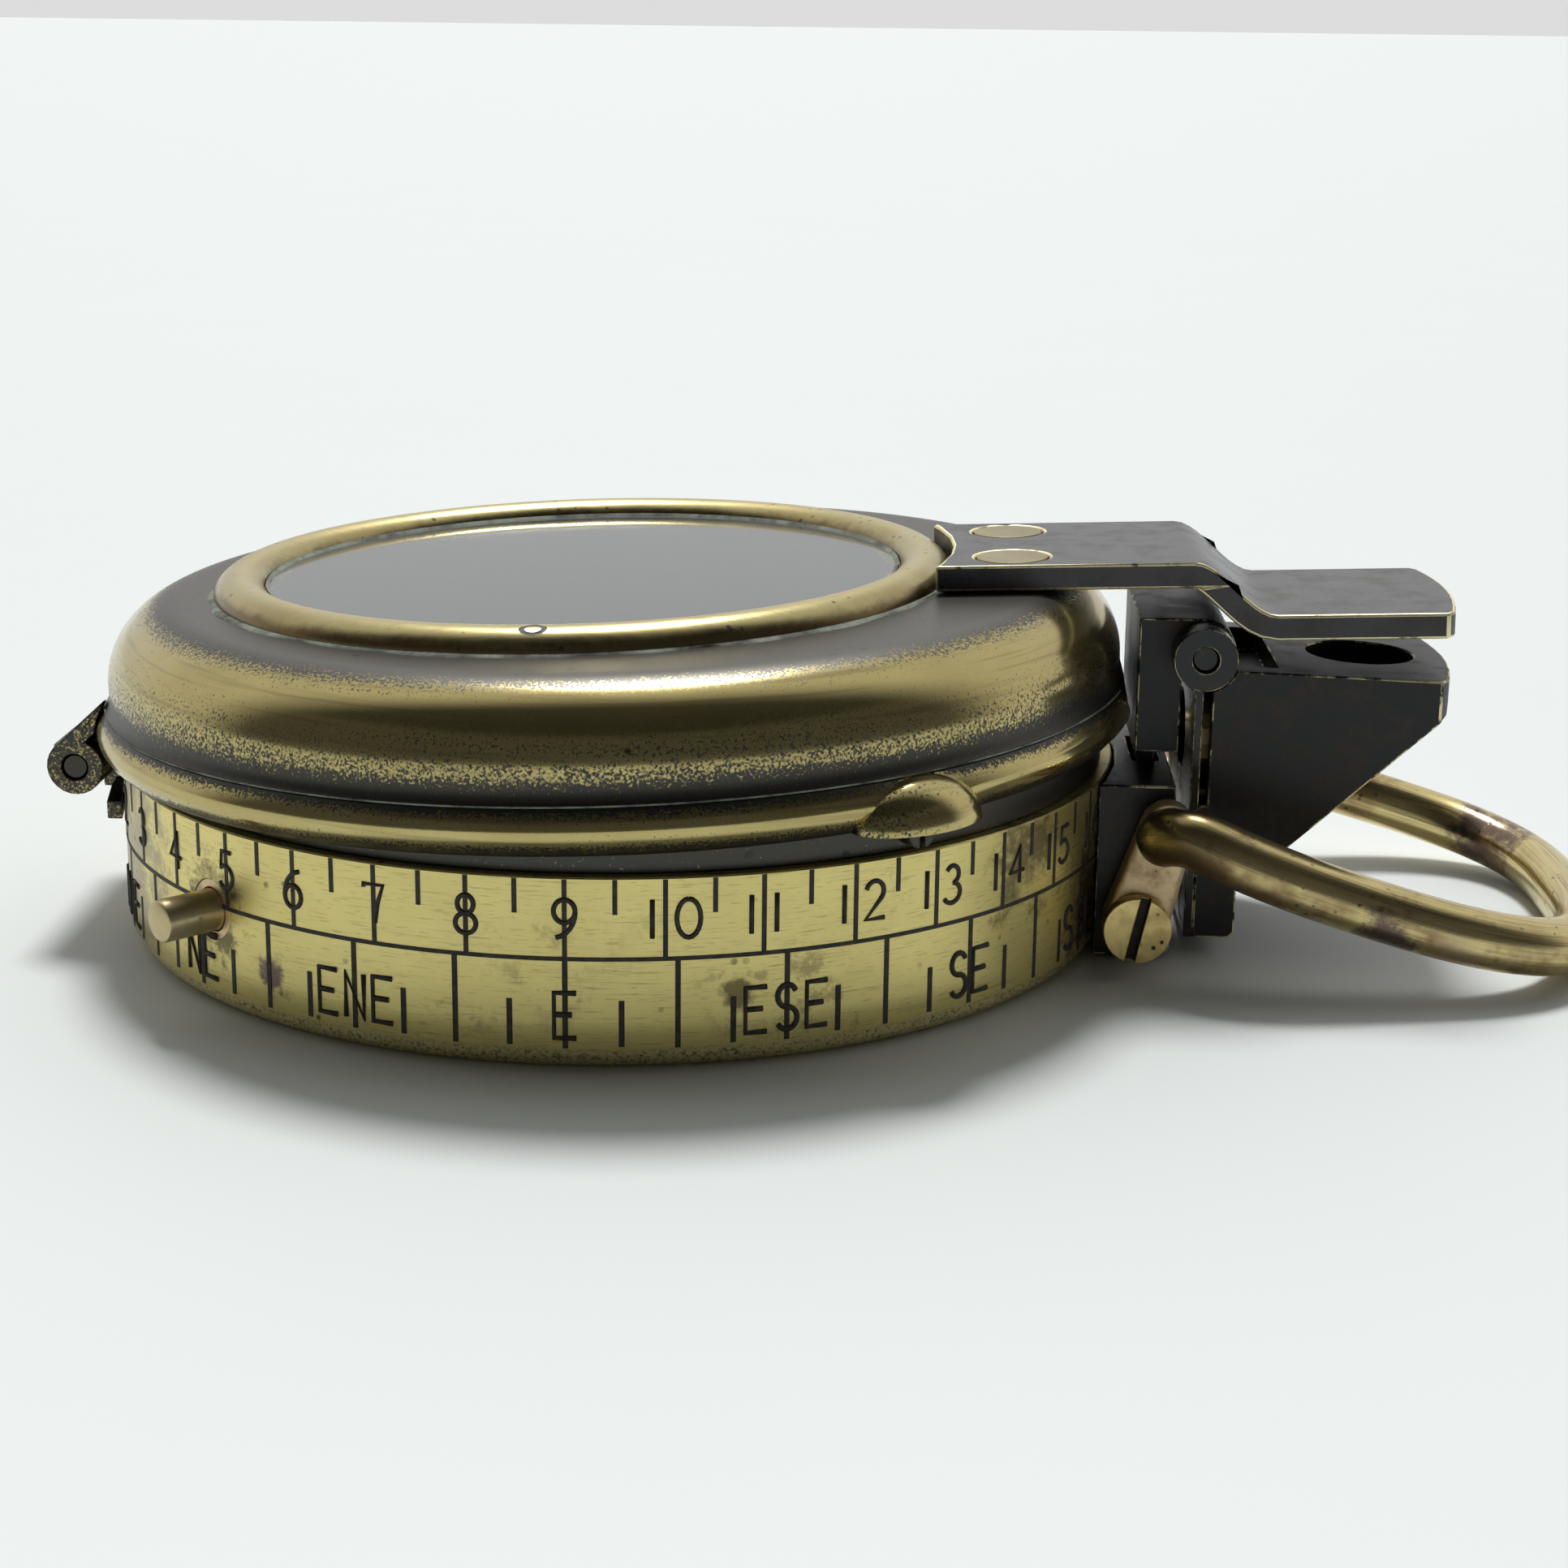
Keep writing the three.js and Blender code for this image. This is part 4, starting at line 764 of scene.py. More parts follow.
@dataclass(frozen=True)
class WornEdge:
    """Brass showing along an edge of a blackened piece."""

    name: str = "worn_edge"
    share: float = 0.55

    def material(self) -> bpy.types.Material:
        """Builds the material.

        Returns:
            The material.
        """
        s = Shader(self.name)
        worn = s.band(s.noise(620.0, 5.0, 0.7), 0.62 - 0.3 * self.share, 0.70 - 0.2 * self.share)
        colour = s.blend(worn, (0.022, 0.020, 0.020), (0.86, 0.78, 0.48))
        return s.finish(colour, s.lerp(worn, 0.4, 0.90), s.lerp(worn, 0.42, 0.46), s.noise(4000.0), 0.006,
                        0.3)


@dataclass(frozen=True)
class Steel:
    """Blued or plain steel with rust freckles."""

    name: str = "dark_steel"
    colour: Colour = (0.24, 0.24, 0.25)

    def material(self) -> bpy.types.Material:
        """Builds the material.

        Returns:
            The material.
        """
        s = Shader(self.name)
        rust = s.band(s.noise(700.0, 5.0, 0.7), 0.60, 0.72)
        colour = s.blend(s.calc("MULTIPLY", rust, 0.6), self.colour, (0.16, 0.075, 0.035))
        return s.finish(colour, 0.95, s.lerp(rust, 0.28, 0.6), s.noise(3500.0), 0.006, 0.4)


@dataclass(frozen=True)
class Glass:
    """Old glass with a faint haze."""

    name: str
    tint: Colour = (0.80, 0.86, 0.85)
    through: float = 0.9
    rough: float = 0.02

    def material(self) -> bpy.types.Material:
        """Builds the material.

        Returns:
            The material.
        """
        s = Shader(self.name)
        haze = s.noise(240.0, 4.0, 0.6)
        colour = s.blend(s.calc("MULTIPLY", haze, 0.25), self.tint, tuple(0.82 * c for c in self.tint))
        made = s.finish(colour, 0.0, s.lerp(haze, self.rough, self.rough + 0.03))
        s.surface.inputs["Transmission Weight"].default_value = self.through
        s.surface.inputs["IOR"].default_value = 1.5
        return made


@dataclass(frozen=True)
class Matt:
    """Paper, pigment, verdigris or stone: a soft surface with mottling."""

    name: str
    light: Colour
    dark: Colour
    scale: float = 600.0
    rough: float = 0.75
    metal: float = 0.0

    def material(self) -> bpy.types.Material:
        """Builds the material.

        Returns:
            The material.
        """
        s = Shader(self.name)
        colour = s.blend(s.band(s.noise(self.scale, 5.0, 0.65), 0.35, 0.70), self.light, self.dark)
        return s.finish(colour, self.metal,
                        s.lerp(s.noise(self.scale * 4), self.rough - 0.1, self.rough + 0.1),
                        s.noise(self.scale * 8), 0.01, 0.4)


@dataclass
class Finishes:
    """Every finish of the compass, made once."""

    lid: bpy.types.Material = field(default_factory=lambda: Patina("lid_patina", use_wear=True).material())
    bronze: bpy.types.Material = field(default_factory=lambda: Patina("bronze_patina", worn=0.30).material())
    seat: bpy.types.Material = field(default_factory=lambda: Patina("seat_patina", worn=0.02).material())
    band: bpy.types.Material = field(default_factory=lambda: BandBrass().material())
    ring_bead: bpy.types.Material = field(
        default_factory=lambda: PolishedBrass("window_ring_brass", (0.50, 0.43, 0.20), (0.34, 0.25, 0.115),
                                              0.5, 0.7, 0.20,
                                              flank=0.85).material())
    rivet: bpy.types.Material = field(
        default_factory=lambda: PolishedBrass("rivet_brass", (0.25, 0.225, 0.135), (0.15, 0.125, 0.07), 0.5,
                                              rough=0.36).material())
    screw: bpy.types.Material = field(
        default_factory=lambda: PolishedBrass("screw_brass", (0.84, 0.66, 0.28), (0.30, 0.18, 0.075), 0.45,
                                              1.0, 0.27, 420.0).material())
    pin: bpy.types.Material = field(
        default_factory=lambda: PolishedBrass("pin_brass", (0.76, 0.66, 0.38), film_share=0.4,
                                              rough=0.24).material())
    inner: bpy.types.Material = field(
        default_factory=lambda: PolishedBrass("inner_brass", (0.68, 0.53, 0.24), film_share=0.3,
                                              rough=0.3).material())
    wire: bpy.types.Material = field(default_factory=lambda: WireBrass().material())
    leg: bpy.types.Material = field(
        default_factory=lambda: PolishedBrass("leg_brass", (0.78, 0.60, 0.36), (0.30, 0.19, 0.10), 0.6, 1.0,
                                              0.38,
                                              420.0).material())
    black: bpy.types.Material = field(default_factory=lambda: BlackBrass("blackened_brass").material())
    tongue: bpy.types.Material = field(
        default_factory=lambda: BlackBrass("tongue_black", (0.050, 0.048, 0.050), (0.046, 0.040, 0.036), 0.15,
                                           0.30).material())
    plate: bpy.types.Material = field(
        default_factory=lambda: BlackBrass("plate_black", (0.020, 0.020, 0.022), rubbed=0.2,
                                           rough=0.24).material())
    edge: bpy.types.Material = field(default_factory=lambda: WornEdge().material())
    bright_edge: bpy.types.Material = field(default_factory=lambda: WornEdge("bright_edge", 1.1).material())
    steel: bpy.types.Material = field(default_factory=lambda: Steel().material())
    window: bpy.types.Material = field(
        default_factory=lambda: Glass("window_glass", (0.30, 0.33, 0.33), 0.75, 0.015).material())
    glass: bpy.types.Material = field(default_factory=lambda: Glass("optical_glass").material())
    paper: bpy.types.Material = field(
        default_factory=lambda: Matt("dial_paper", (0.78, 0.74, 0.62), (0.62, 0.55, 0.40), 300.0).material())
    ink: bpy.types.Material = field(
        default_factory=lambda: Matt("engraving_black", (0.020, 0.018, 0.016), (0.055, 0.045, 0.03), 2500.0,
                                     0.6).material())
    jewel: bpy.types.Material = field(
        default_factory=lambda: Matt("red_jewel", (0.30, 0.012, 0.03), (0.18, 0.006, 0.02), 500.0,
                                     0.15).material())
    verdigris: bpy.types.Material = field(
        default_factory=lambda: Matt("verdigris", (0.25, 0.29, 0.22), (0.030, 0.030, 0.024),
                                     420.0).material())


def placed(
    piece: bpy.types.Object, body: str, slot: str, materials: Sequence[bpy.types.Material], *nodes: str
) -> bpy.types.Object:
    """Gives a finished piece its materials, its body and the nodes it stands for.

    Args:
        piece: the piece, with its place in its mesh.
        body: the CAD body it rides on.
        slot: the record's material slot; not used.
        materials: its materials, in order.
        nodes: CAD nodes that it replaces.

    Returns:
        The piece.
    """
    while len(piece.data.materials) < len(materials):
        piece.data.materials.append(None)
    for i, material in enumerate(materials):
        piece.data.materials[i] = material
    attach(piece, body)
    if nodes:
        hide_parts(*nodes)
    LOG.info("%s on %s, %d faces", piece.name, body, len(piece.data.polygons))
    return piece


def dressed(material: bpy.types.Material, *nodes: str) -> None:
    """Gives CAD nodes that stay a better material.

    Args:
        material: the material.
        nodes: names of the CAD nodes.
    """
    for node in nodes:
        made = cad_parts[node]
        if not made.material_slots:
            made.data.materials.append(material)
        for place in made.material_slots:
            place.material = material
        LOG.info("%s keeps its CAD shape", node)


# ------------------------------------------------------------------ engraving


def bow(cx: float, cy: float, rx: float, ry: float, start: float, end: float) -> list[Point]:
    """Points along part of an ellipse, angles in degrees."""
    steps = max(6, int(abs(end - start) / 18))
    angles = (math.radians(start + (end - start) * k / steps) for k in range(steps + 1))
    return [(cx + rx * math.cos(a), cy + ry * math.sin(a)) for a in angles]


def strokes(sign: str) -> tuple[float, list[list[Point]]]:
    """The engraver's strokes for one sign, one unit high.

    Args:
        sign: a digit, or N, E, S or W.

    Returns:
        The sign's width and its strokes.
    """
    table: dict[str, tuple[float, list[list[Point]]]] = {
        "0": (0.60, [bow(0.30, 0.5, 0.30, 0.5, 90, 450)]),
        "1": (0.10, [[(0.05, 0.0), (0.05, 1.0)]]),
        "2": (0.56, [bow(0.27, 0.72, 0.26, 0.28, 165, -38) + [(0.0, 0.0), (0.56, 0.0)]]),
        "3": (0.54, [bow(0.25, 0.76, 0.22, 0.24, 150, -80), bow(0.24, 0.27, 0.29, 0.27, 80, -150)]),
        "4": (0.60, [[(0.42, 0.0), (0.42, 1.0), (0.0, 0.32), (0.60, 0.32)]]),
        "5": (0.54, [[(0.48, 1.0), (0.10, 1.0), (0.06, 0.55)] + bow(0.24, 0.31, 0.29, 0.31, 128, -150)]),
        "6": (0.56, [bow(0.28, 0.30, 0.27, 0.30, 0, 360), bow(0.60, 0.33, 0.59, 0.67, 100, 180)]),
        "7": (0.55, [[(0.0, 0.92), (0.0, 1.0), (0.55, 1.0)] + [(0.38, 0.5), (0.30, 0.0)]]),
        "8": (0.54, [bow(0.27, 0.76, 0.21, 0.24, 0, 360), bow(0.27, 0.26, 0.27, 0.26, 0, 360)]),
        "9": (0.56, [bow(0.28, 0.70, 0.27, 0.30, 0, 360), bow(-0.04, 0.67, 0.59, 0.67, -80, 0)]),
        "N": (0.46, [[(0.0, 0.0), (0.0, 1.0), (0.46, 0.0), (0.46, 1.0)]]),
        "E": (0.47, [[(0.47, 1.0), (0.0, 1.0), (0.0, 0.0), (0.47, 0.0)], [(0.0, 0.52), (0.38, 0.52)]]),
        "S": (0.46, [bow(0.23, 0.75, 0.21, 0.25, 25, 270) + bow(0.23, 0.25, 0.23, 0.25, 90, -150)]),
        "W": (0.72, [[(0.0, 1.0), (0.18, 0.0), (0.36, 0.9), (0.54, 0.0), (0.72, 1.0)]]),
    }
    return table[sign]


def engraved(
    name: str, words: Sequence[tuple[str, float, float, float]], radius: float, face: Face, width: float,
    gap: float = 0.30,
) -> bpy.types.Object:
    """Cuts words as round-bottomed strokes round the band or flat on the card.

    Args:
        name: the piece's name.
        words: (word, angle in degrees, height of its foot in mm, size in mm).
        radius: the band's radius, or the radius of the words' foot on the card, in mm.
        face: how the words lie.
        width: the stroke's width in mm.
        gap: space between signs, in sign heights.

    Returns:
        The strokes as one mesh.
    """
    curve = bpy.data.curves.new(name, "CURVE")
    curve.dimensions = "3D"
    curve.bevel_depth = width / 2 * MM
    curve.bevel_resolution = 1
    curve.use_fill_caps = True
    for word, degrees, foot, size in words:
        signs = [strokes(c) for c in word]
        long = sum(w for w, _ in signs) + gap * (len(signs) - 1)
        cursor = -(signs[0][0] + gap / 2) if len(signs) == 2 else -long / 2
        for wide, lines in signs:
            for line in lines:
                spline = curve.splines.new("POLY")
                spline.points.add(len(line) - 1)
                for k, (u, v) in enumerate(line):
                    side, high = (cursor + u) * size, v * size
                    if face is Face.BAND:
                        a = math.radians(degrees) + side / radius
                        r = radius - width * 0.12
                        spot = (r * math.cos(a), r * math.sin(a), foot + high)
                    else:
                        a = math.radians(degrees)
                        out, across = radius + high, side
                        spot = (out * math.cos(a) - across * math.sin(a),
                                out * math.sin(a) + across * math.cos(a), foot)
                    spline.points[k].co = (*(c * MM for c in spot), 1.0)
            cursor += wide + gap
    made = bpy.data.objects.new(name + "_line", curve)
    bpy.context.scene.collection.objects.link(made)
    bpy.context.view_layer.update()
    mesh = bpy.data.meshes.new_from_object(made.evaluated_get(bpy.context.evaluated_depsgraph_get()))
    mesh.name = name
    bpy.data.objects.remove(made)
    return linked(name, mesh)


def mark_tree() -> bpy.types.NodeTree:
    """The Geometry Nodes tree that sets marks evenly round a circle.

    Returns:
        The tree.
    """
    tree = bpy.data.node_groups.new("marks_round_a_circle", "GeometryNodeTree")
    face = tree.interface
    face.new_socket("Geometry", in_out="INPUT", socket_type="NodeSocketGeometry")
    face.new_socket("Count", in_out="INPUT", socket_type="NodeSocketInt")
    for name in ("Radius", "Height", "First"):
        face.new_socket(name, in_out="INPUT", socket_type="NodeSocketFloat")
    face.new_socket("Mark Size", in_out="INPUT", socket_type="NodeSocketVector")
    face.new_socket("Material", in_out="INPUT", socket_type="NodeSocketMaterial")
    face.new_socket("Geometry", in_out="OUTPUT", socket_type="NodeSocketGeometry")
    add, link = tree.nodes.new, tree.links.new
    given, result = add("NodeGroupInput").outputs, add("NodeGroupOutput")

    def calc(operation: str, a: object, b: object = None) -> bpy.types.NodeSocket:
        """A Math node's result.

        Args:
            operation: the node's operation.
            a: its first value or output.
            b: its second, if it has one.

        Returns:
            The result.
        """
        node = add("ShaderNodeMath")
        node.operation = operation
        for i, value in enumerate((a, b)):
            if isinstance(value, bpy.types.NodeSocket):
                link(value, node.inputs[i])
            elif value is not None:
                node.inputs[i].default_value = value
        return node.outputs[0]

    row = add("GeometryNodeMeshLine")
    link(given["Count"], row.inputs["Count"])
    row.inputs["Offset"].default_value = (0.0, 0.0, 0.0)
    step = calc("DIVIDE", 2 * math.pi, given["Count"])
    angle = calc("ADD", calc("MULTIPLY", add("GeometryNodeInputIndex").outputs[0], step), given["First"])
    spot = add("ShaderNodeCombineXYZ")
    link(calc("MULTIPLY", calc("COSINE", angle), given["Radius"]), spot.inputs[0])
    link(calc("MULTIPLY", calc("SINE", angle), given["Radius"]), spot.inputs[1])
    link(given["Height"], spot.inputs[2])
    put = add("GeometryNodeSetPosition")
    link(row.outputs["Mesh"], put.inputs["Geometry"])
    link(spot.outputs[0], put.inputs["Position"])
    mark = add("GeometryNodeMeshCube")
    link(given["Mark Size"], mark.inputs["Size"])
    turn = add("ShaderNodeCombineXYZ")
    link(angle, turn.inputs[2])
    copies = add("GeometryNodeInstanceOnPoints")
    link(put.outputs[0], copies.inputs["Points"])
    link(mark.outputs["Mesh"], copies.inputs["Instance"])
    link(turn.outputs[0], copies.inputs["Rotation"])
    real = add("GeometryNodeRealizeInstances")
    link(copies.outputs[0], real.inputs[0])
    paint = add("GeometryNodeSetMaterial")
    link(real.outputs[0], paint.inputs["Geometry"])
    link(given["Material"], paint.inputs["Material"])
    link(paint.outputs[0], result.inputs[0])
    return tree


@dataclass
class Marks:
    """Evenly spaced marks round a circle, sizes in millimetres."""

    name: str
    count: int
    radius: float
    low: float
    high: float
    width: float
    depth: float
    first: float = 0.0

    def build(self, tree: bpy.types.NodeTree, material: bpy.types.Material) -> bpy.types.Object:
        """Runs the tree and keeps its result as a plain mesh.

        Args:
            tree: the tree from mark_tree.
            material: the marks' material.

        Returns:
            The marks as one object.
        """
        made = linked(self.name, bpy.data.meshes.new(self.name))
        step = made.modifiers.new("marks", "NODES")
        step.node_group = tree
        ids = {s.name: s.identifier for s in tree.interface.items_tree if s.in_out == "INPUT"}
        step[ids["Count"]] = self.count
        step[ids["Radius"]] = self.radius * MM
        step[ids["Height"]] = (self.low + self.high) / 2 * MM
        step[ids["First"]] = math.radians(self.first)
        step[ids["Mark Size"]] = (self.depth * MM, self.width * MM, (self.high - self.low) * MM)
        step[ids["Material"]] = material
        bpy.context.view_layer.update()
        mesh = bpy.data.meshes.new_from_object(made.evaluated_get(bpy.context.evaluated_depsgraph_get()))
        made.modifiers.clear()
        made.data = mesh
        return made


def merged(name: str, pieces: Sequence[bpy.types.Object]) -> bpy.types.Object:
    """Joins several loose pieces of one material into one object.

    Args:
        name: the new object's name.
        pieces: the pieces, which are removed.

    Returns:
        The new object.
    """
    work = bmesh.new()
    for piece in pieces:
        work.from_mesh(piece.data)
        bpy.data.objects.remove(piece)
    bmesh.ops.remove_doubles(work, verts=work.verts, dist=1e-7)
    for face in work.faces:
        face.material_index = 0
    mesh = bpy.data.meshes.new(name)
    work.to_mesh(mesh)
    work.free()
    return linked(name, mesh)


# ------------------------------------------------------------------ sub-assemblies


@dataclass
class Case:
    """The engraved case, its seat ring, its fixed blocks and the brake. Sizes in millimetres."""

    finishes: Finishes
    tree: bpy.types.NodeTree
    radius: float = 26.5
    wall: float = 1.3
    floor: float = 1.3
    foot: float = 1.1
    top: float = 9.5
    line_z: float = 5.6
    brake_az: float = -133.0
    brake_z: float = 5.25
    neck_radius: float = 25.9
    ring_pivot: Point = (27.45, 2.54)

    def build(self) -> None:
        """Builds the shell, its engraving, the seat ring and the brake."""
        self.shell()
        self.engraving()
        self.seat()
        self.brake()
        black, edge = self.finishes.black, self.finishes.edge
        placed(refined("prism_bracket", "bracket_block", 0.12, True), "case", "black_brass", (black, edge),
               "prism_bracket")
        for side in ("front", "rear"):
            node = "ring_screw_" + side
            screw = refined(node, "ring_pivot_" + side, 0.07)
            # Faces of the head near the pivot, between 10.05 and 10.88 mm out, take the black: a painted
            # shadow in the gap round the head.
            for face in screw.data.polygons:
                middle = face.center / MM
                inside = math.hypot(middle.x - self.ring_pivot[0], middle.z - self.ring_pivot[1]) < 1.66
                face.material_index = int(inside and 10.05 < abs(middle.y) < 10.88)
            placed(screw, "case", "bright_brass", (self.finishes.screw, self.finishes.ink), node)
        placed(refined("lid_hinge_leaf", "hinge_leaf", 0.08), "case", "aged_brass", (self.finishes.bronze,),
               "lid_hinge_leaf")
        dressed(self.finishes.seat, "lid_hinge_pin")
        dressed(self.finishes.steel, "pivot_needle", "lever_pin", "lever_spring", "brake_spring")
        dressed(self.finishes.inner, "pivot_post", "lever_bracket", "bracket_screw_front",
                "bracket_screw_rear")

    def shell(self) -> None:
        """The turned case with its rounded foot and its holes."""
        inner = self.radius - self.wall
        foot_r, flat_r = self.radius - 0.2, self.radius - 1.4
        arc = [(flat_r + (foot_r - flat_r) * math.sin(a), self.foot * (1 - math.cos(a)))
               for a in (math.radians(90 * k / 8) for k in range(9))]
        rim = [(self.radius, self.foot + 0.08), (self.radius, self.top - 0.08),
               (self.radius - 0.08, self.top)]
        inside = [(inner, self.top), (inner, self.floor + 0.8), (inner - 0.3, self.floor + 0.25),
                  (inner - 0.8, self.floor), (0.0, self.floor)]
        steps = [(self.radius, self.foot + 0.08 + (self.top - self.foot - 0.16) * k / 6) for k in range(1, 6)]
        profile = [(0.0, 0.0), *arc, (self.radius - 0.03, self.foot), rim[0], *steps, *rim[1:], *inside]
        shell = linked("case_shell", turned("case_shell", profile, 192))
        az = math.radians(self.brake_az)
        out = Vector((math.cos(az), math.sin(az), 0)) * MM
        up = Vector((0, 0, self.brake_z * MM))
        holes = [cylinder("hole", out * 22 + up, out * 30 + up, 1.53 * MM, 64)]
        for y in (-5.4, 5.4):
            holes.append(cylinder("hole", Vector((22, y, 5.6)) * MM, Vector((30, y, 5.6)) * MM, 0.9 * MM, 24))
        combined(shell, "DIFFERENCE", holes)
        placed(shell, "case", "scale_brass", (self.finishes.band,), "case_body")

    def engraving(self) -> None:
        """The two scales: tens of degrees above the line and compass points below it."""
        line, ink = 0.23, self.finishes.ink
        r = self.radius - 0.06
        sets = (
            Marks("tens", 36, r, self.line_z, self.top - 0.1, line, 0.17),
            Marks("fives", 36, r, self.top - 1.75, self.top - 0.1, line, 0.17, 5.0),
            Marks("points", 32, r, self.foot + 0.15, self.line_z, line + 0.03, 0.17),
            Marks("half_points", 32, r, self.foot + 0.25, self.foot + 2.5, line + 0.04, 0.17, 5.625),
        )
        pieces = [s.build(self.tree, ink) for s in sets]
        ring = [(r - 0.08, self.line_z - 0.1), (r + 0.085, self.line_z - 0.1), (r + 0.085, self.line_z + 0.1),
                (r - 0.08, self.line_z + 0.1)]
        pieces.append(linked("line", turned("line", ring, 192)))
        placed(merged("scale_lines", pieces), "case", "black_brass", (ink,))
        tens = [(str(k), 10.0 * k - 180, 6.6, 1.85) for k in range(1, 37)]
        names = ("NNE", "NE", "ENE", "E", "ESE", "SE", "SSE", "S", "SSW", "SW", "WSW", "W", "WNW", "NW",
                 "NNW", "N")
        points = [(word, 22.5 * (k + 1) - 180, 1.75, 2.2) for k, word in enumerate(names)]
        spaced = engraved("numbers", tens, self.radius, Face.BAND, 0.27, 0.56)
        lower = engraved("letters", points, self.radius, Face.BAND, 0.31, 0.22)
        placed(merged("scale_signs", [spaced, lower]), "case", "black_brass", (ink,))

    def seat(self) -> None:
        """The seat ring between the case and the turning bezel."""
        low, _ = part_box("bezel_seat")
        bottom, neck = low.z / MM, 11.7
        profile = [(24.3, bottom), (25.1, bottom), (25.1, self.top), (self.neck_radius, self.top),
                   (self.neck_radius, neck), (23.1, neck), (23.1, 10.2), (22.4, 10.2), (22.4, 9.6),
                   (24.3, 9.6)]
        ring = linked("seat_ring", turned("seat_ring", filleted(profile, 0.12), 160))
        hole = Vector((24.2 * math.cos(math.radians(52)), 24.2 * math.sin(math.radians(52)), 0)) * MM
        lift = Vector((0, 0, MM))
        az = math.radians(-53.5)
        out = Vector((math.cos(az), math.sin(az), 0)) * MM
        tools = [cylinder("hole", hole + lift * 7, hole + lift * 13, 0.7 * MM, 24),
                 cylinder("hole", out * 21 + lift * 10.75, out * 30 + lift * 10.75, 0.65 * MM, 24)]
        combined(ring, "DIFFERENCE", tools)
        placed(ring, "case", "aged_brass", (self.finishes.seat,), "bezel_seat")

    def brake(self) -> None:
        """The push pin of the card brake and its bush."""
        az = math.radians(self.brake_az)
        spin = Matrix.Rotation(az, 4, "Z") @ Matrix.Translation((0, 0, self.brake_z * MM))
        lay = spin @ Matrix.Rotation(math.pi / 2, 4, "Y")
        outer, inner = 29.5, 23.75
        crown = [(1.05, outer - 0.22), (0.98, outer - 0.08), (0.86, outer - 0.02), (0.0, outer)]
        pin = turned("brake_button", [(0.0, inner), (1.05, inner), *crown], 48)
        bush = turned("brake_collar",
                      filleted([(1.12, 24.5), (1.51, 24.5), (1.51, 26.44), (1.12, 26.44)], 0.04), 64)
        for mesh in (pin, bush):
            mesh.transform(lay)
        placed(linked("brake_button", pin), "brake", "bright_brass", (self.finishes.pin,), "brake_pin")
        placed(linked("brake_collar", bush), "case", "aged_brass", (self.finishes.leg,), "brake_bush")


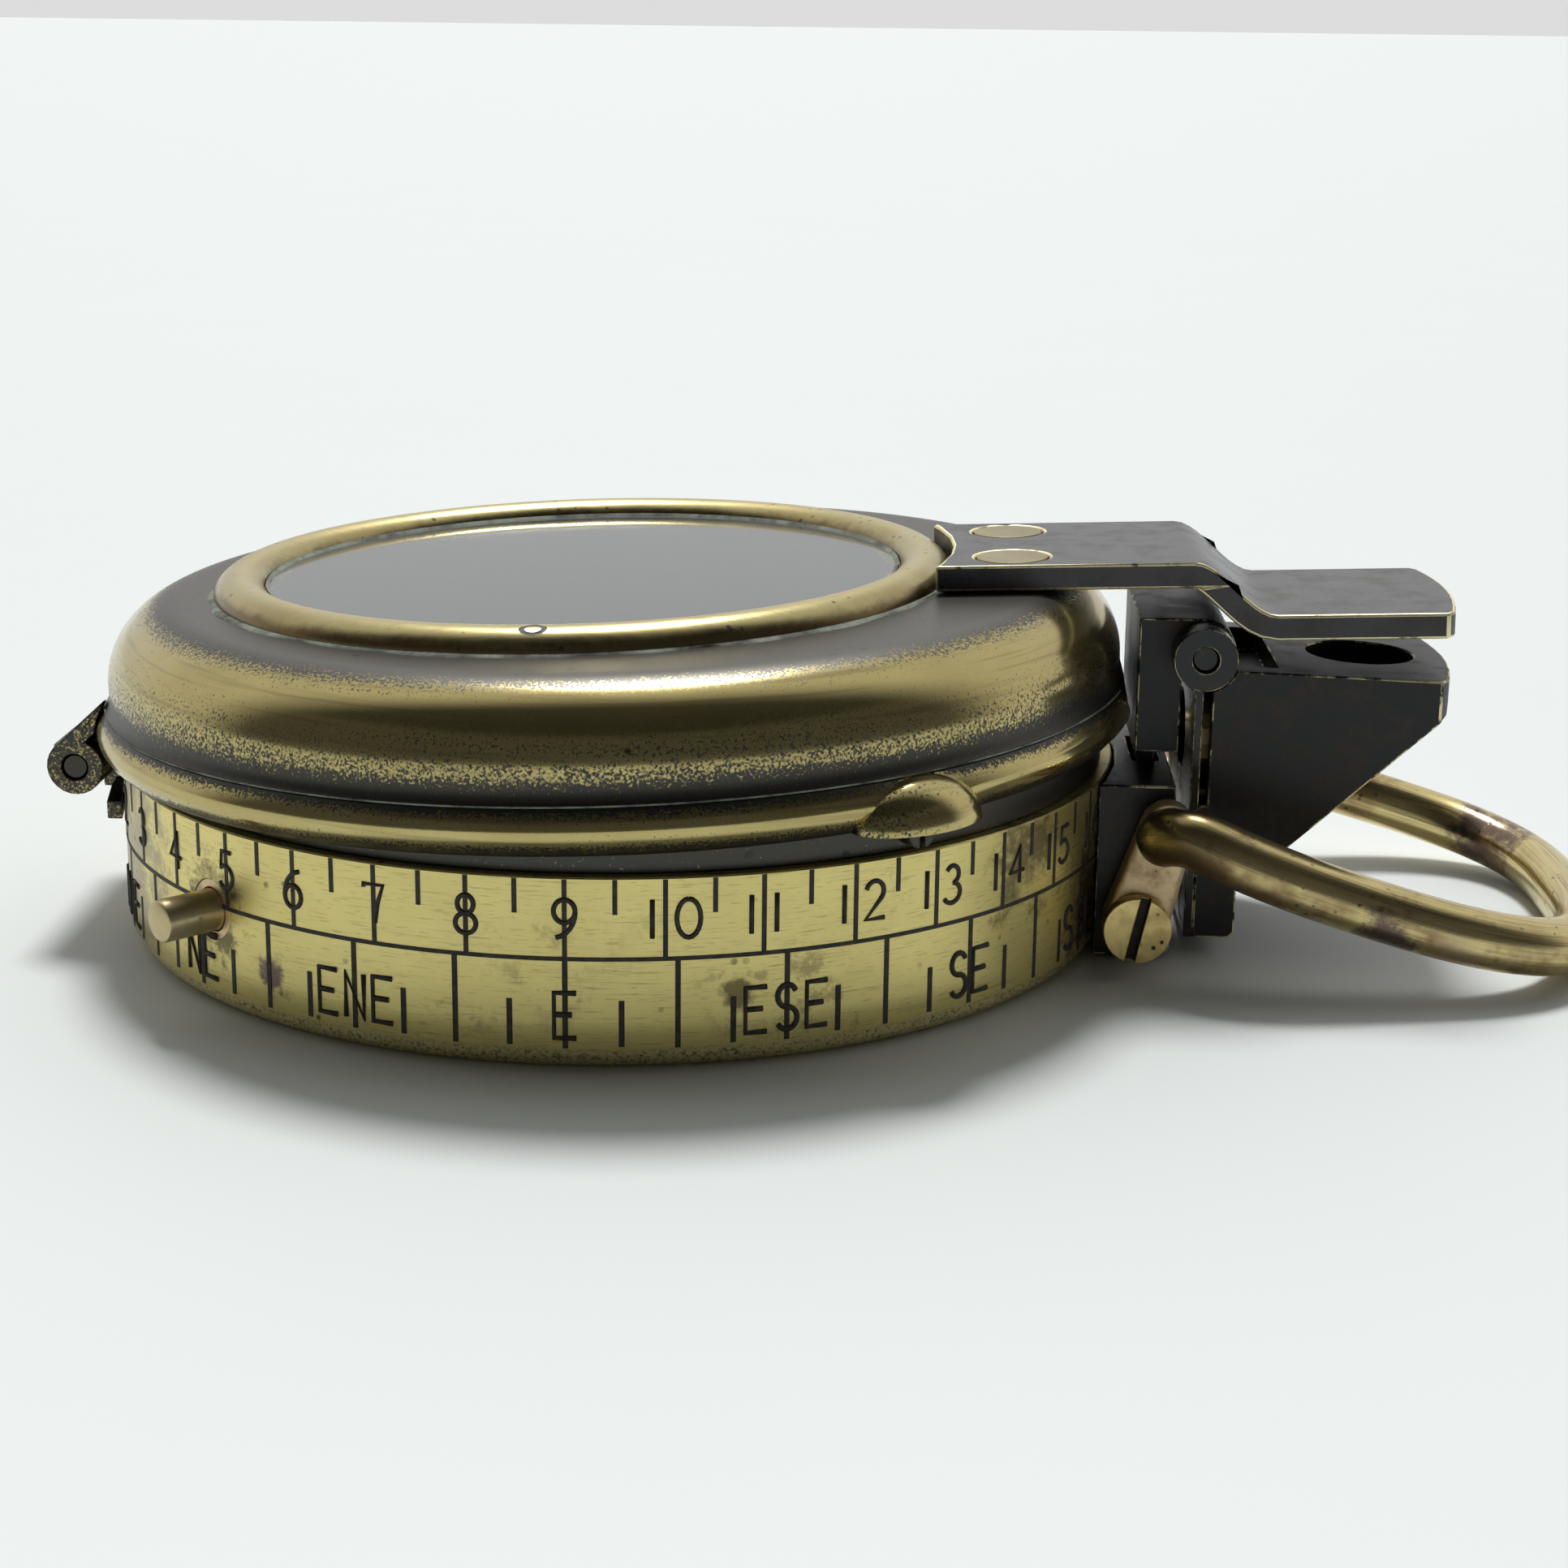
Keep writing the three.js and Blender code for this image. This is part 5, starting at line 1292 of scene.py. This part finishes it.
@dataclass
class Lid:
    """The spun lid with its window, tongue and hinge half. Drawn shut, then laid open at its rest angle."""

    finishes: Finishes
    rest: float = 2.0
    hinge: Point = (-28.15, 8.87)
    bottom: float = 9.6
    top: float = 17.3
    inner: float = 26.15
    side: float = 26.9
    shoulder: float = 4.0
    window_x: float = -1.65
    window_out: float = 19.6
    window_in: float = 16.8
    clamp_az: float = -53.5
    dome_high: float = 2.35
    dome_out: float = 2.3
    dome_half: float = 3.5
    dome_wall: float = 0.45
    sheet: float = 0.8

    def opened(self) -> Matrix:
        """The move from the shut drawing to where the lid rests."""
        pivot = Matrix.Translation((self.hinge[0] * MM, 0, self.hinge[1] * MM))
        return pivot @ Matrix.Rotation(-math.radians(self.rest), 4, "Y") @ pivot.inverted()

    def build(self) -> None:
        """Builds every piece of the lid."""
        self.shell()
        self.window()
        self.tongue()
        hinge = refined("lid_hinge_strap", "hinge_strap", 0.10)
        placed(hinge, "lid", "aged_brass", (self.finishes.bronze,), "lid_hinge_strap")

    def shell(self) -> None:
        """The shell: bead, crease, side, shoulder and flat top round the window."""
        centre_r, centre_z = self.side - self.shoulder, self.top - self.shoulder
        # The third number of each point is its rubbing value, which also paints light: the bright bead and
        # shoulder are painted highlights, and the dark at the crease is painted shade.
        outside: list[tuple[float, float, float]] = [
            (26.15, 9.62, 0.05), (26.82, 9.60, 0.05), (26.95, 9.66, 0.05), (27.16, 9.88, 0.12),
            (27.42, 10.14, 0.45), (27.60, 10.42, 0.85), (27.69, 10.72, 1.0), (27.69, 10.98, 1.0),
            (27.60, 11.26, 0.92), (27.46, 11.50, 0.66), (27.30, 11.72, 0.32), (27.22, 11.84, 0.10),
            (27.12, 11.93, 0.0), (27.17, 12.02, 0.1), (27.10, 12.10, 0.0), (27.00, 12.26, 0.0),
                                                     (26.94, 12.50, 0.05),
            (26.90, 12.75, 0.14), (26.90, 13.05, 0.32), (26.90, 13.30, 0.50)]
        # Shoulder: rubbed bright under a painted highlight band, then dark again towards the flat top.
        for k in range(1, 25):
            a = math.radians(90 * k / 24)
            rub = min(0.97, 0.48 + 0.49 * k / 11) - 0.97 * min(1.0, max(0.0, (k - 13.5) / 7.5))
            outside.append((centre_r + self.shoulder * math.cos(a), centre_z + self.shoulder * math.sin(a),
                            rub))
        outside += [(22.4, self.top, 0.02), (21.9, self.top, 0.02)]
        rings, wear = [], []
        facets = 224
        angles = [2 * math.pi * k / facets for k in range(facets)]

        def ring(radius: float, z: float, cx: float, worn: float) -> None:
            """Adds one ring of points about an axis at cx."""
            rings.append([Vector((cx + radius * math.cos(a), radius * math.sin(a), z)) * MM for a in angles])
            wear.append(worn)

        for r, z, worn in outside:
            ring(r, z, 0.0, worn)
        bore = 17.1 + 0.6
        for t in (0.25, 0.5, 0.75, 1.0):
            ring(21.9 + (bore - 21.9) * t, self.top, self.window_x * t, 0.02 + 0.05 * t)
        under = self.top - self.sheet
        for t in (1.0, 0.5, 0.0):
            ring(21.9 + (bore - 21.9) * t, under, self.window_x * t, 0.05)
        tuck = self.shoulder - (self.side - self.inner)
        for k in range(0, 9):
            a = math.radians(90 - 90 * k / 8)
            ring(self.inner - tuck + tuck * math.cos(a), under - tuck + tuck * math.sin(a), 0.0, 0.05)
        shell = linked("lid_cover", ring_mesh("lid_cover", rings, True, wear))
        self.dome(shell)
        h = self.hinge
        cuts = [cuboid("notch", (-0.0325, -0.0073, 0.008), (-0.0232, 0.0073, (h[1] + 1.8) * MM)),
                cuboid("notch", (0.027, -0.0056, 0.008), (0.032, 0.0056, 0.014))]
        combined(shell, "DIFFERENCE", cuts)
        self.dome_wear(shell.data)
        shell.data.transform(self.opened())
        placed(shell, "lid", "aged_brass", (self.finishes.lid,), "lid_shell")

    def dome_wear(self, mesh: bpy.types.Mesh) -> None:
        """Rubs the bump bright, and paints it lighter towards the prism's side and darker over its top:
        painted highlight and painted shade.

        Args:
            mesh: the lid's mesh, not yet opened.
        """
        wear = mesh.attributes.get("wear") or mesh.attributes.new("wear", "FLOAT", "POINT")
        turn = Matrix.Rotation(-math.radians(self.clamp_az), 3, "Z")
        for vertex in mesh.vertices:
            p = turn @ vertex.co / MM
            out, across = (p.x - self.side) / self.dome_out, p.y / self.dome_half
            high = (p.z - self.bottom) / self.dome_high
            if abs(out * out + across * across + high * high - 1) < 0.04 and out > 0:
                # Painted highlight towards the prism's side, painted shade over the top of the bump.
                wear.data[vertex.index].value = 0.84 + 0.30 * across - 0.25 * max(0.0, high - 0.6)

    def dome(self, shell: bpy.types.Object) -> None:
        """Raises the hollow bump over the clamp screw's head.

        Args:
            shell: the lid's shell, which is changed.
        """
        az = math.radians(self.clamp_az)
        at = Matrix.Rotation(az, 4, "Z") @ Matrix.Translation((self.side * MM, 0, self.bottom * MM))

        def ball(inset: float) -> bpy.types.Object:
            """One ellipsoid of the bump, smaller by an inset in mm.

            Args:
                inset: how much smaller it is, in mm.

            Returns:
                The ellipsoid.
            """
            work = bmesh.new()
            bmesh.ops.create_uvsphere(work, u_segments=64, v_segments=40, radius=1.0)
            mesh = bpy.data.meshes.new("bump")
            work.to_mesh(mesh)
            work.free()
            size = [(d - inset) * MM for d in (self.dome_out, self.dome_half, self.dome_high)]
            mesh.transform(Matrix.Diagonal((*size, 1)))
            mesh.transform(at)
            wear = mesh.attributes.new("wear", "FLOAT", "POINT")
            wear.data.foreach_set("value", [0.85] * len(mesh.vertices))
            return linked("bump", mesh)

        outer, hollow = ball(0.0), ball(self.dome_wall)
        below = cuboid("below", (-0.05, -0.05, 0.0), (0.05, 0.05, self.bottom * MM))
        within = cylinder("within", Vector((0, 0, 0)), Vector((0, 0, 0.03)), self.inner * MM, 128)
        combined(outer, "DIFFERENCE", [below, within])
        combined(shell, "UNION", [outer])
        combined(shell, "DIFFERENCE", [hollow])

    def window(self) -> None:
        """The rolled brass ring, the glass in it and the ring that holds it."""
        mid, half = (self.window_out + self.window_in) / 2, (self.window_out - self.window_in) / 2
        glass_top = self.top + 0.4
        roll = [(mid + half * math.cos(a), self.top + 1.2 * math.sin(a))
                for a in (math.radians(-8 + 172 * k / 22) for k in range(23))]
        bore = self.window_in + 0.3
        profile = [(bore, 16.3), (bore + 0.5, 16.3), (bore + 0.5, self.top - 0.05), *roll,
                   (self.window_in, glass_top), (bore, glass_top)]
        ring = linked("window_bead", turned("window_bead", profile, 224, (self.window_x, 0.0)))
        az = math.radians(-91)
        reach = mid + 0.5
        spot = Vector((self.window_x + reach * math.cos(az), reach * math.sin(az), self.top + 1.12)) * MM
        lay = Matrix.Translation(spot) @ Matrix.Rotation(math.radians(20), 4,
                                                         "X") @ Matrix.Diagonal((1.15, 0.8, 1, 1))
        punch = turned("punch", [(0.30, -0.25), (0.40, 0.3), (0.66, 0.3), (0.54, -0.25)], 32)
        punch.transform(lay)
        combined(ring, "DIFFERENCE", [linked("punch", punch)], 40)
        dirt = turned("punch_dirt", [(0.31, -0.22), (0.33, -0.05), (0.58, -0.05), (0.53, -0.22)], 32)
        dirt.transform(lay)
        dirt.transform(self.opened())
        placed(linked("punch_dirt", dirt), "lid", "aged_brass", (self.finishes.ink,))
        ring.data.transform(self.opened())
        placed(ring, "lid", "bright_brass", (self.finishes.ring_bead,), "window_ring")
        low, high = 16.9, glass_top
        pane = [(0.0, low), (bore - 0.1, low), (bore - 0.1, high), (0.0, high)]
        disc = linked("window_pane", turned("window_pane", pane, 128, (self.window_x, 0.0)))
        disc.data.transform(self.opened())
        placed(disc, "lid", "clear_glass", (self.finishes.window,), "window_glass")
        putty = [(self.window_in + 0.05, high), (self.window_in + 0.05, high + 0.14),
                 (self.window_in - 0.18, high)]
        rim = linked("window_putty", turned("window_putty", [(r, z - 0.001) for r, z in putty], 224,
                                            (self.window_x, 0.0)))
        rim.data.transform(self.opened())
        placed(rim, "lid", "aged_brass", (self.finishes.verdigris,))
        rings = []
        for r, z in ((-0.3, -0.1), (0.34, -0.02), (0.20, 0.08), (-0.05, 0.13), (-0.3, 0.1)):
            rings.append([])
            for k in range(224):
                a = 2 * math.pi * k / 224
                ragged = r * (1 + 0.35 * math.sin(7 * a + 1) + 0.3 * math.sin(23 * a)) if r > 0 else r
                spread = self.window_out + ragged
                rings[-1].append(Vector((self.window_x + spread * math.cos(a), spread * math.sin(a),
                                         self.top + z)) * MM)
        crust = linked("crust", ring_mesh("crust", rings, True))
        # A pale strip along the lid's crease, in the verdigris colour: a painted highlight on the crease's
        # edge.
        crease_sheen = linked("crease_sheen",
                      turned("crease_sheen", [(27.08, 11.97), (27.21, 11.97), (27.21, 12.05), (27.08, 12.05)], 224))
        notch = cuboid("notch", (0.026, -0.0056, 0.008), (0.032, 0.0056, 0.014))
        hinge = cuboid("notch", (-0.0325, -0.0073, 0.008), (-0.0232, 0.0073, 0.014))
        combined(crease_sheen, "DIFFERENCE", [notch, hinge])
        line = merged("window_crust_and_crease_sheen", [crust, crease_sheen])
        line.data.transform(self.opened())
        placed(line, "lid", "aged_brass", (self.finishes.verdigris,))
        dressed(self.finishes.inner, "window_retainer")

    def tongue(self) -> None:
        """The sighting tongue and its two flush rivets."""
        arm = refined("lid_tongue", "sight_tongue", 0.15, True)
        placed(arm, "lid", "black_brass", (self.finishes.tongue, self.finishes.bright_edge), "lid_tongue")
        for side in ("front", "rear"):
            node = "tongue_rivet_" + side
            placed(refined(node, "flush_rivet_" + side, 0.06), "lid", "bright_brass", (self.finishes.rivet,),
                   node)


@dataclass
class Bezel:
    """The turning bezel with its milled edge, glass and index line."""

    finishes: Finishes
    tree: bpy.types.NodeTree
    radius: float = 23.0
    glass_radius: float = 21.4
    bottom: float = 10.2
    top: float = 14.0

    def build(self) -> None:
        """Builds the ring, its milling, the glass and the clamp screw."""
        bore = self.glass_radius - 0.6
        profile = [(bore, self.bottom), (self.radius, self.bottom), (self.radius, 10.45),
                   (self.radius - 0.4, 10.45),
                   (self.radius - 0.4, 11.05), (self.radius, 11.05), (self.radius, 11.9),
                   (self.radius - 0.2, 12.05),
                   (self.radius - 0.2, 13.6), (self.radius - 0.5, self.top),
                   (self.glass_radius + 0.1, self.top),
                   (self.glass_radius + 0.1, 12.2), (bore, 12.2)]
        ring = linked("bezel_band", turned("bezel_band", filleted(profile, 0.08), 192))
        mill = Marks("bezel_milling", 150, self.radius - 0.22, 12.1, 13.55, 0.45, 0.30)
        ridges = mill.build(self.tree, self.finishes.inner)
        placed(merged("bezel_milled_ring", [ring, ridges]), "index_bezel", "bright_brass",
               (self.finishes.inner,),
               "bezel_ring")
        pane = [(0.0, 12.2), (self.glass_radius - 0.02, 12.2), (self.glass_radius - 0.02, 13.3), (0.0, 13.3)]
        placed(linked("bezel_pane", turned("bezel_pane", pane, 128)), "index_bezel", "clear_glass",
               (self.finishes.glass,), "bezel_glass")
        hair = cuboid("bezel_index_line", (-0.0003 - 0.0198, -0.00012, 0.0133), (0.0198, 0.00012, 0.01336))
        placed(hair, "index_bezel", "black_brass", (self.finishes.ink,))
        dressed(self.finishes.inner, "bezel_snap_ring")
        placed(refined("clamp_screw", "clamp_screw_head", 0.04), "clamp_screw", "bright_brass",
               (self.finishes.seat,), "clamp_screw")


@dataclass
class Card:
    """The floating card with its printed degrees."""

    finishes: Finishes
    tree: bpy.types.NodeTree
    radius: float = 22.2
    low: float = 8.6
    high: float = 8.93

    def build(self) -> None:
        """Builds the card, its degree marks and its numbers."""
        disc = turned("dial", filleted([(1.2, self.low), (self.radius, self.low), (self.radius, self.high),
                                        (1.2, self.high)], 0.08), 160)
        placed(linked("dial", disc), "card", "card_paper", (self.finishes.paper,), "dial_card")
        low, high = self.high - 0.01, self.high + 0.02
        sets = (Marks("twos", 180, 21.4, low, high, 0.10, 0.9), Marks("tens", 36, 21.0, low, high, 0.16, 1.8),
                Marks("inner_tens", 72, 14.8, low, high, 0.10, 0.7))
        pieces = [s.build(self.tree, self.finishes.ink) for s in sets]
        for r in (20.9, 15.2, 14.4):
            line = [(r - 0.05, low), (r + 0.05, low), (r + 0.05, high), (r - 0.05, high)]
            pieces.append(linked("line", turned("line", line, 128)))
        numbers = [(str((10 * k + 180) % 360 or 360), -10.0 * k, self.high + 0.01, 1.5) for k in range(0, 36,
                                                                                                       2)]
        pieces.append(engraved("numbers", numbers, 18.2, Face.CARD, 0.14, 0.35))
        points = [(w, 90.0 - 90 * k, self.high + 0.01, 2.6) for k, w in enumerate(("N", "E", "S", "W"))]
        pieces.append(engraved("points", points, 10.6, Face.CARD, 0.24))
        placed(merged("dial_print", pieces), "card", "black_brass", (self.finishes.ink,))
        dressed(self.finishes.steel, "magnet_bar")
        dressed(self.finishes.inner, "card_cap")
        dressed(self.finishes.jewel, "card_jewel")


@dataclass
class Lock:
    """The card lock: plunger, lever and lifting collar."""

    finishes: Finishes

    def build(self) -> None:
        """Dresses the lock's CAD pieces."""
        dressed(self.finishes.steel, "lock_plunger")
        dressed(self.finishes.inner, "lift_lever", "lift_collar")


@dataclass
class Prism:
    """The focusing slide and the folding prism on it."""

    finishes: Finishes

    def build(self) -> None:
        """Builds the slide, the eye plate, the housing and the optics."""
        pair = (self.finishes.black, self.finishes.edge)
        placed(refined("prism_slide", "focus_block", 0.10, True), "slide", "black_brass", pair, "prism_slide")
        placed(refined("prism_eye_plate", "eye_plate", 0.05, True), "prism", "black_brass",
               (self.finishes.plate, self.finishes.edge), "prism_eye_plate")
        placed(refined("prism_housing", "prism_box", 0.10, True), "prism", "black_brass", pair,
               "prism_housing")
        dressed(self.finishes.plate, "prism_hinge_pin")
        dressed(self.finishes.steel, "eye_plate_screw_front", "eye_plate_screw_rear")
        dressed(self.finishes.glass, "prism_glass", "eye_lens")
        dressed(self.finishes.inner, "lens_ring")


@dataclass
class ThumbRing:
    """The wire ring with its flattened legs. Sizes in millimetres."""

    finishes: Finishes
    wire: float = 1.5
    centre: float = 38.6
    half_x: float = 12.9
    half_y: float = 12.8
    power: float = 2.94
    sag: float = 0.58
    bend: Point = (28.46, 8.3)
    pivot: Point = (27.45, 2.54)
    elbow: float = 1.36
    eye: float = 1.70
    leg_sides: Point = (8.1, 9.9)
    leg_round: float = 0.35
    leg_hole: float = 1.0
    start_reach: float = 2.4
    start_out: float = 0.35
    start_down: float = 0.95

    def line(self) -> list[Vector]:
        """The wire's middle line from one bend to the other, in metres.

        Returns:
            The points of the line.
        """
        end = math.pi - math.acos(((self.centre - self.bend[0]) / self.half_x) ** (self.power / 2))
        out = []
        for k in range(161):
            a = end * (2 * k / 160 - 1)
            c, s = math.cos(a), math.sin(a)
            x = self.centre + self.half_x * math.copysign(abs(c) ** (2 / self.power), c)
            y = self.half_y * math.copysign(abs(s) ** (2 / self.power), s)
            t = (x - self.bend[0]) / (self.centre + self.half_x - self.bend[0])
            z = self.bend[1] - (self.bend[1] - self.wire) * t - 4 * self.sag * t * (1 - t)
            near = max(0.0, 1 - (x - self.bend[0]) / self.start_reach)
            x, z = x + self.start_out * near**2, z - self.start_down * near**2
            out.append(Vector((x, y, z)) * MM)
        return out

    def build(self) -> None:
        """Builds the bow and its two legs."""
        line = self.line()
        for sign in (-1, 1):
            tip = line[0] if sign < 0 else line[-1]
            tail = [tip + Vector((-0.10, -sign * 0.35, -0.28)) * MM,
                    tip + Vector((-0.16, -sign * 0.7, -0.7)) * MM]
            line = list(reversed(tail)) + line if sign < 0 else line + tail
        bow_mesh = swept("ring_bow", line, lambda t: (self.wire - (0.25 if t in (0.0, 1.0) else 0.0)) * MM,
                         44)
        bow_piece = linked("ring_bow", bow_mesh)
        placed(bow_piece, "ring", "bright_brass", (self.finishes.wire,))
        legs = [self.leg(side) for side in (-1, 1)]
        piece = merged("ring_legs", legs)
        smoothed(piece.data, 40)
        placed(piece, "ring", "bright_brass", (self.finishes.leg,), "thumb_ring")

    def leg(self, side: int) -> bpy.types.Object:
        """One flattened leg with its round eye and the elbow under the bow.

        Args:
            side: -1 for the front leg, 1 for the rear one.

        Returns:
            The leg.
        """
        top = Vector((self.bend[0] + 0.45, self.bend[1] - 0.75))
        run = top - Vector(self.pivot)
        steps, outline = 14, []
        normal = Vector((-run.y, run.x)).normalized()
        for centre, radius, start in ((top, self.elbow, 0.0), (Vector(self.pivot), self.eye, math.pi)):
            first = math.atan2(-normal.y, -normal.x) + start
            for k in range(steps + 1):
                a = first + math.pi * k / steps
                outline.append((centre.x + radius * math.cos(a), centre.y + radius * math.sin(a)))
        work = bmesh.new()
        inner, outer = self.leg_sides
        verts = [work.verts.new(Vector((x, side * inner, z)) * MM) for x, z in outline]
        face = work.faces.new(verts)
        grown = bmesh.ops.extrude_face_region(work, geom=[face])
        moved = [v for v in grown["geom"] if isinstance(v, bmesh.types.BMVert)]
        bmesh.ops.translate(work, verts=moved, vec=Vector((0, side * (outer - inner), 0)) * MM)
        bmesh.ops.recalc_face_normals(work, faces=work.faces)
        mesh = bpy.data.meshes.new("leg")
        work.to_mesh(mesh)
        work.free()
        made = linked("leg", mesh)
        step = made.modifiers.new("edges", "BEVEL")
        step.width, step.segments, step.limit_method = self.leg_round * MM, 3, "ANGLE"
        step.angle_limit = math.radians(50)
        settled(made, 40)
        px, pz = self.pivot
        hole = cylinder("hole", Vector((px, side * 5, pz)) * MM, Vector((px, side * 12, pz)) * MM, 1.0 * MM,
                        32)
        return combined(made, "DIFFERENCE", [hole], 40)


@dataclass
class Studio:
    """Floor, lights and camera."""

    eye: tuple[float, float, float] = (0.01508, -0.14955, 0.04763)
    look: tuple[float, float, float] = (-0.04009, 0.96414, -0.26234)
    roll: float = 0.012
    lens: float = 65.28
    key: float = 2.40
    key_width: float = 15.0
    key_from: tuple[float, float, float] = (-0.05, 0.58, 1.0)
    room: float = 0.72
    dark_high: float = 0.03
    dark_low: float = 0.10

    def build(self) -> None:
        """Builds the studio."""
        self.floor()
        self.camera()
        self.lights()

    def floor(self) -> None:
        """A pale table top that runs far behind the compass."""
        work = bmesh.new()
        work.faces.new([work.verts.new((x, y, 0.0)) for x, y in ((-6, -6), (6, -6), (6, 9), (-6, 9))])
        mesh = bpy.data.meshes.new("floor")
        work.to_mesh(mesh)
        work.free()
        made = linked("floor", mesh)
        s = Shader("pale_floor")
        grain = s.noise(30.0, 3.0)
        mesh.materials.append(s.finish(s.blend(grain, (0.80, 0.84, 0.84), (0.785, 0.825, 0.82)), 0.0, 0.55))

    def camera(self) -> None:
        """The camera, with the slight roll of a hand-held view."""
        ahead = Vector(self.look).normalized()
        right = ahead.cross(Vector((0, 0, 1))).normalized()
        up = right.cross(ahead)
        c, s = math.cos(self.roll), math.sin(self.roll)
        axes = (right * c + up * s, up * c - right * s, -ahead)
        made = bpy.data.objects.new("camera", bpy.data.cameras.new("camera"))
        made.data.lens = self.lens
        made.data.sensor_width = 36.0
        made.data.clip_start = 0.005
        made.matrix_world = Matrix.Translation(self.eye) @ Matrix(axes).transposed().to_4x4()
        bpy.context.scene.collection.objects.link(made)
        bpy.context.scene.camera = made

    def lights(self) -> None:
        """One broad soft light from above and behind, in a room that is dark on the viewer's side."""
        data = bpy.data.lights.new("overhead", "SUN")
        data.energy, data.angle, data.color = self.key, math.radians(self.key_width), (1.0, 0.995, 0.98)
        made = bpy.data.objects.new("overhead", data)
        made.matrix_world = Vector(self.key_from).to_track_quat("Z", "Y").to_matrix().to_4x4()
        bpy.context.scene.collection.objects.link(made)
        world = bpy.data.worlds.new("studio")
        bpy.context.scene.world = world
        world.use_nodes = True
        nodes, links = world.node_tree.nodes, world.node_tree.links
        way = nodes.new("ShaderNodeTexCoord").outputs["Generated"]
        parts = nodes.new("ShaderNodeSeparateXYZ")
        links.new(way, parts.inputs[0])

        def step(source: bpy.types.NodeSocket, *values: float) -> bpy.types.NodeSocket:
            """A smooth step: from low, from high, to low, to high.

            Args:
                source: the number to read.
                values: from low, from high, to low, to high.

            Returns:
                The step.
            """
            node = nodes.new("ShaderNodeMapRange")
            node.interpolation_type = "SMOOTHSTEP"
            links.new(source, node.inputs[0])
            for i, value in enumerate(values):
                node.inputs[i + 1].default_value = value
            return node.outputs[0]

        def product(a: bpy.types.NodeSocket, b: bpy.types.NodeSocket, operation: str) -> bpy.types.NodeSocket:
            """The two numbers multiplied, or the larger of them.

            Args:
                a: the first number.
                b: the second number.
                operation: the Math node's operation.

            Returns:
                The result.
            """
            node = nodes.new("ShaderNodeMath")
            node.operation = operation
            links.new(a, node.inputs[0])
            links.new(b, node.inputs[1])
            return node.outputs[0]

        front = step(parts.outputs[1], -0.22, 0.26, 0.0, 1.0)
        viewer = step(parts.outputs[2], 0.58, 0.70, self.dark_low, self.dark_high)
        level = product(front, viewer, "MAXIMUM")
        level = product(level, nodes.new("ShaderNodeLightPath").outputs["Is Camera Ray"], "MAXIMUM")
        links.new(level, nodes["Background"].inputs["Color"])
        nodes["Background"].inputs["Strength"].default_value = self.room


def main() -> None:
    """Builds the studio and every sub-assembly in order."""
    logging.basicConfig(level=logging.INFO, format="%(message)s", stream=sys.stdout)
    Studio().build()
    finishes = Finishes()
    tree = mark_tree()
    Case(finishes, tree).build()
    Card(finishes, tree).build()
    Bezel(finishes, tree).build()
    Lock(finishes).build()
    Lid(finishes).build()
    Prism(finishes).build()
    ThumbRing(finishes).build()
    view = bpy.context.scene.view_settings
    view.view_transform = "Standard"


if __name__ == "__main__":
    main()
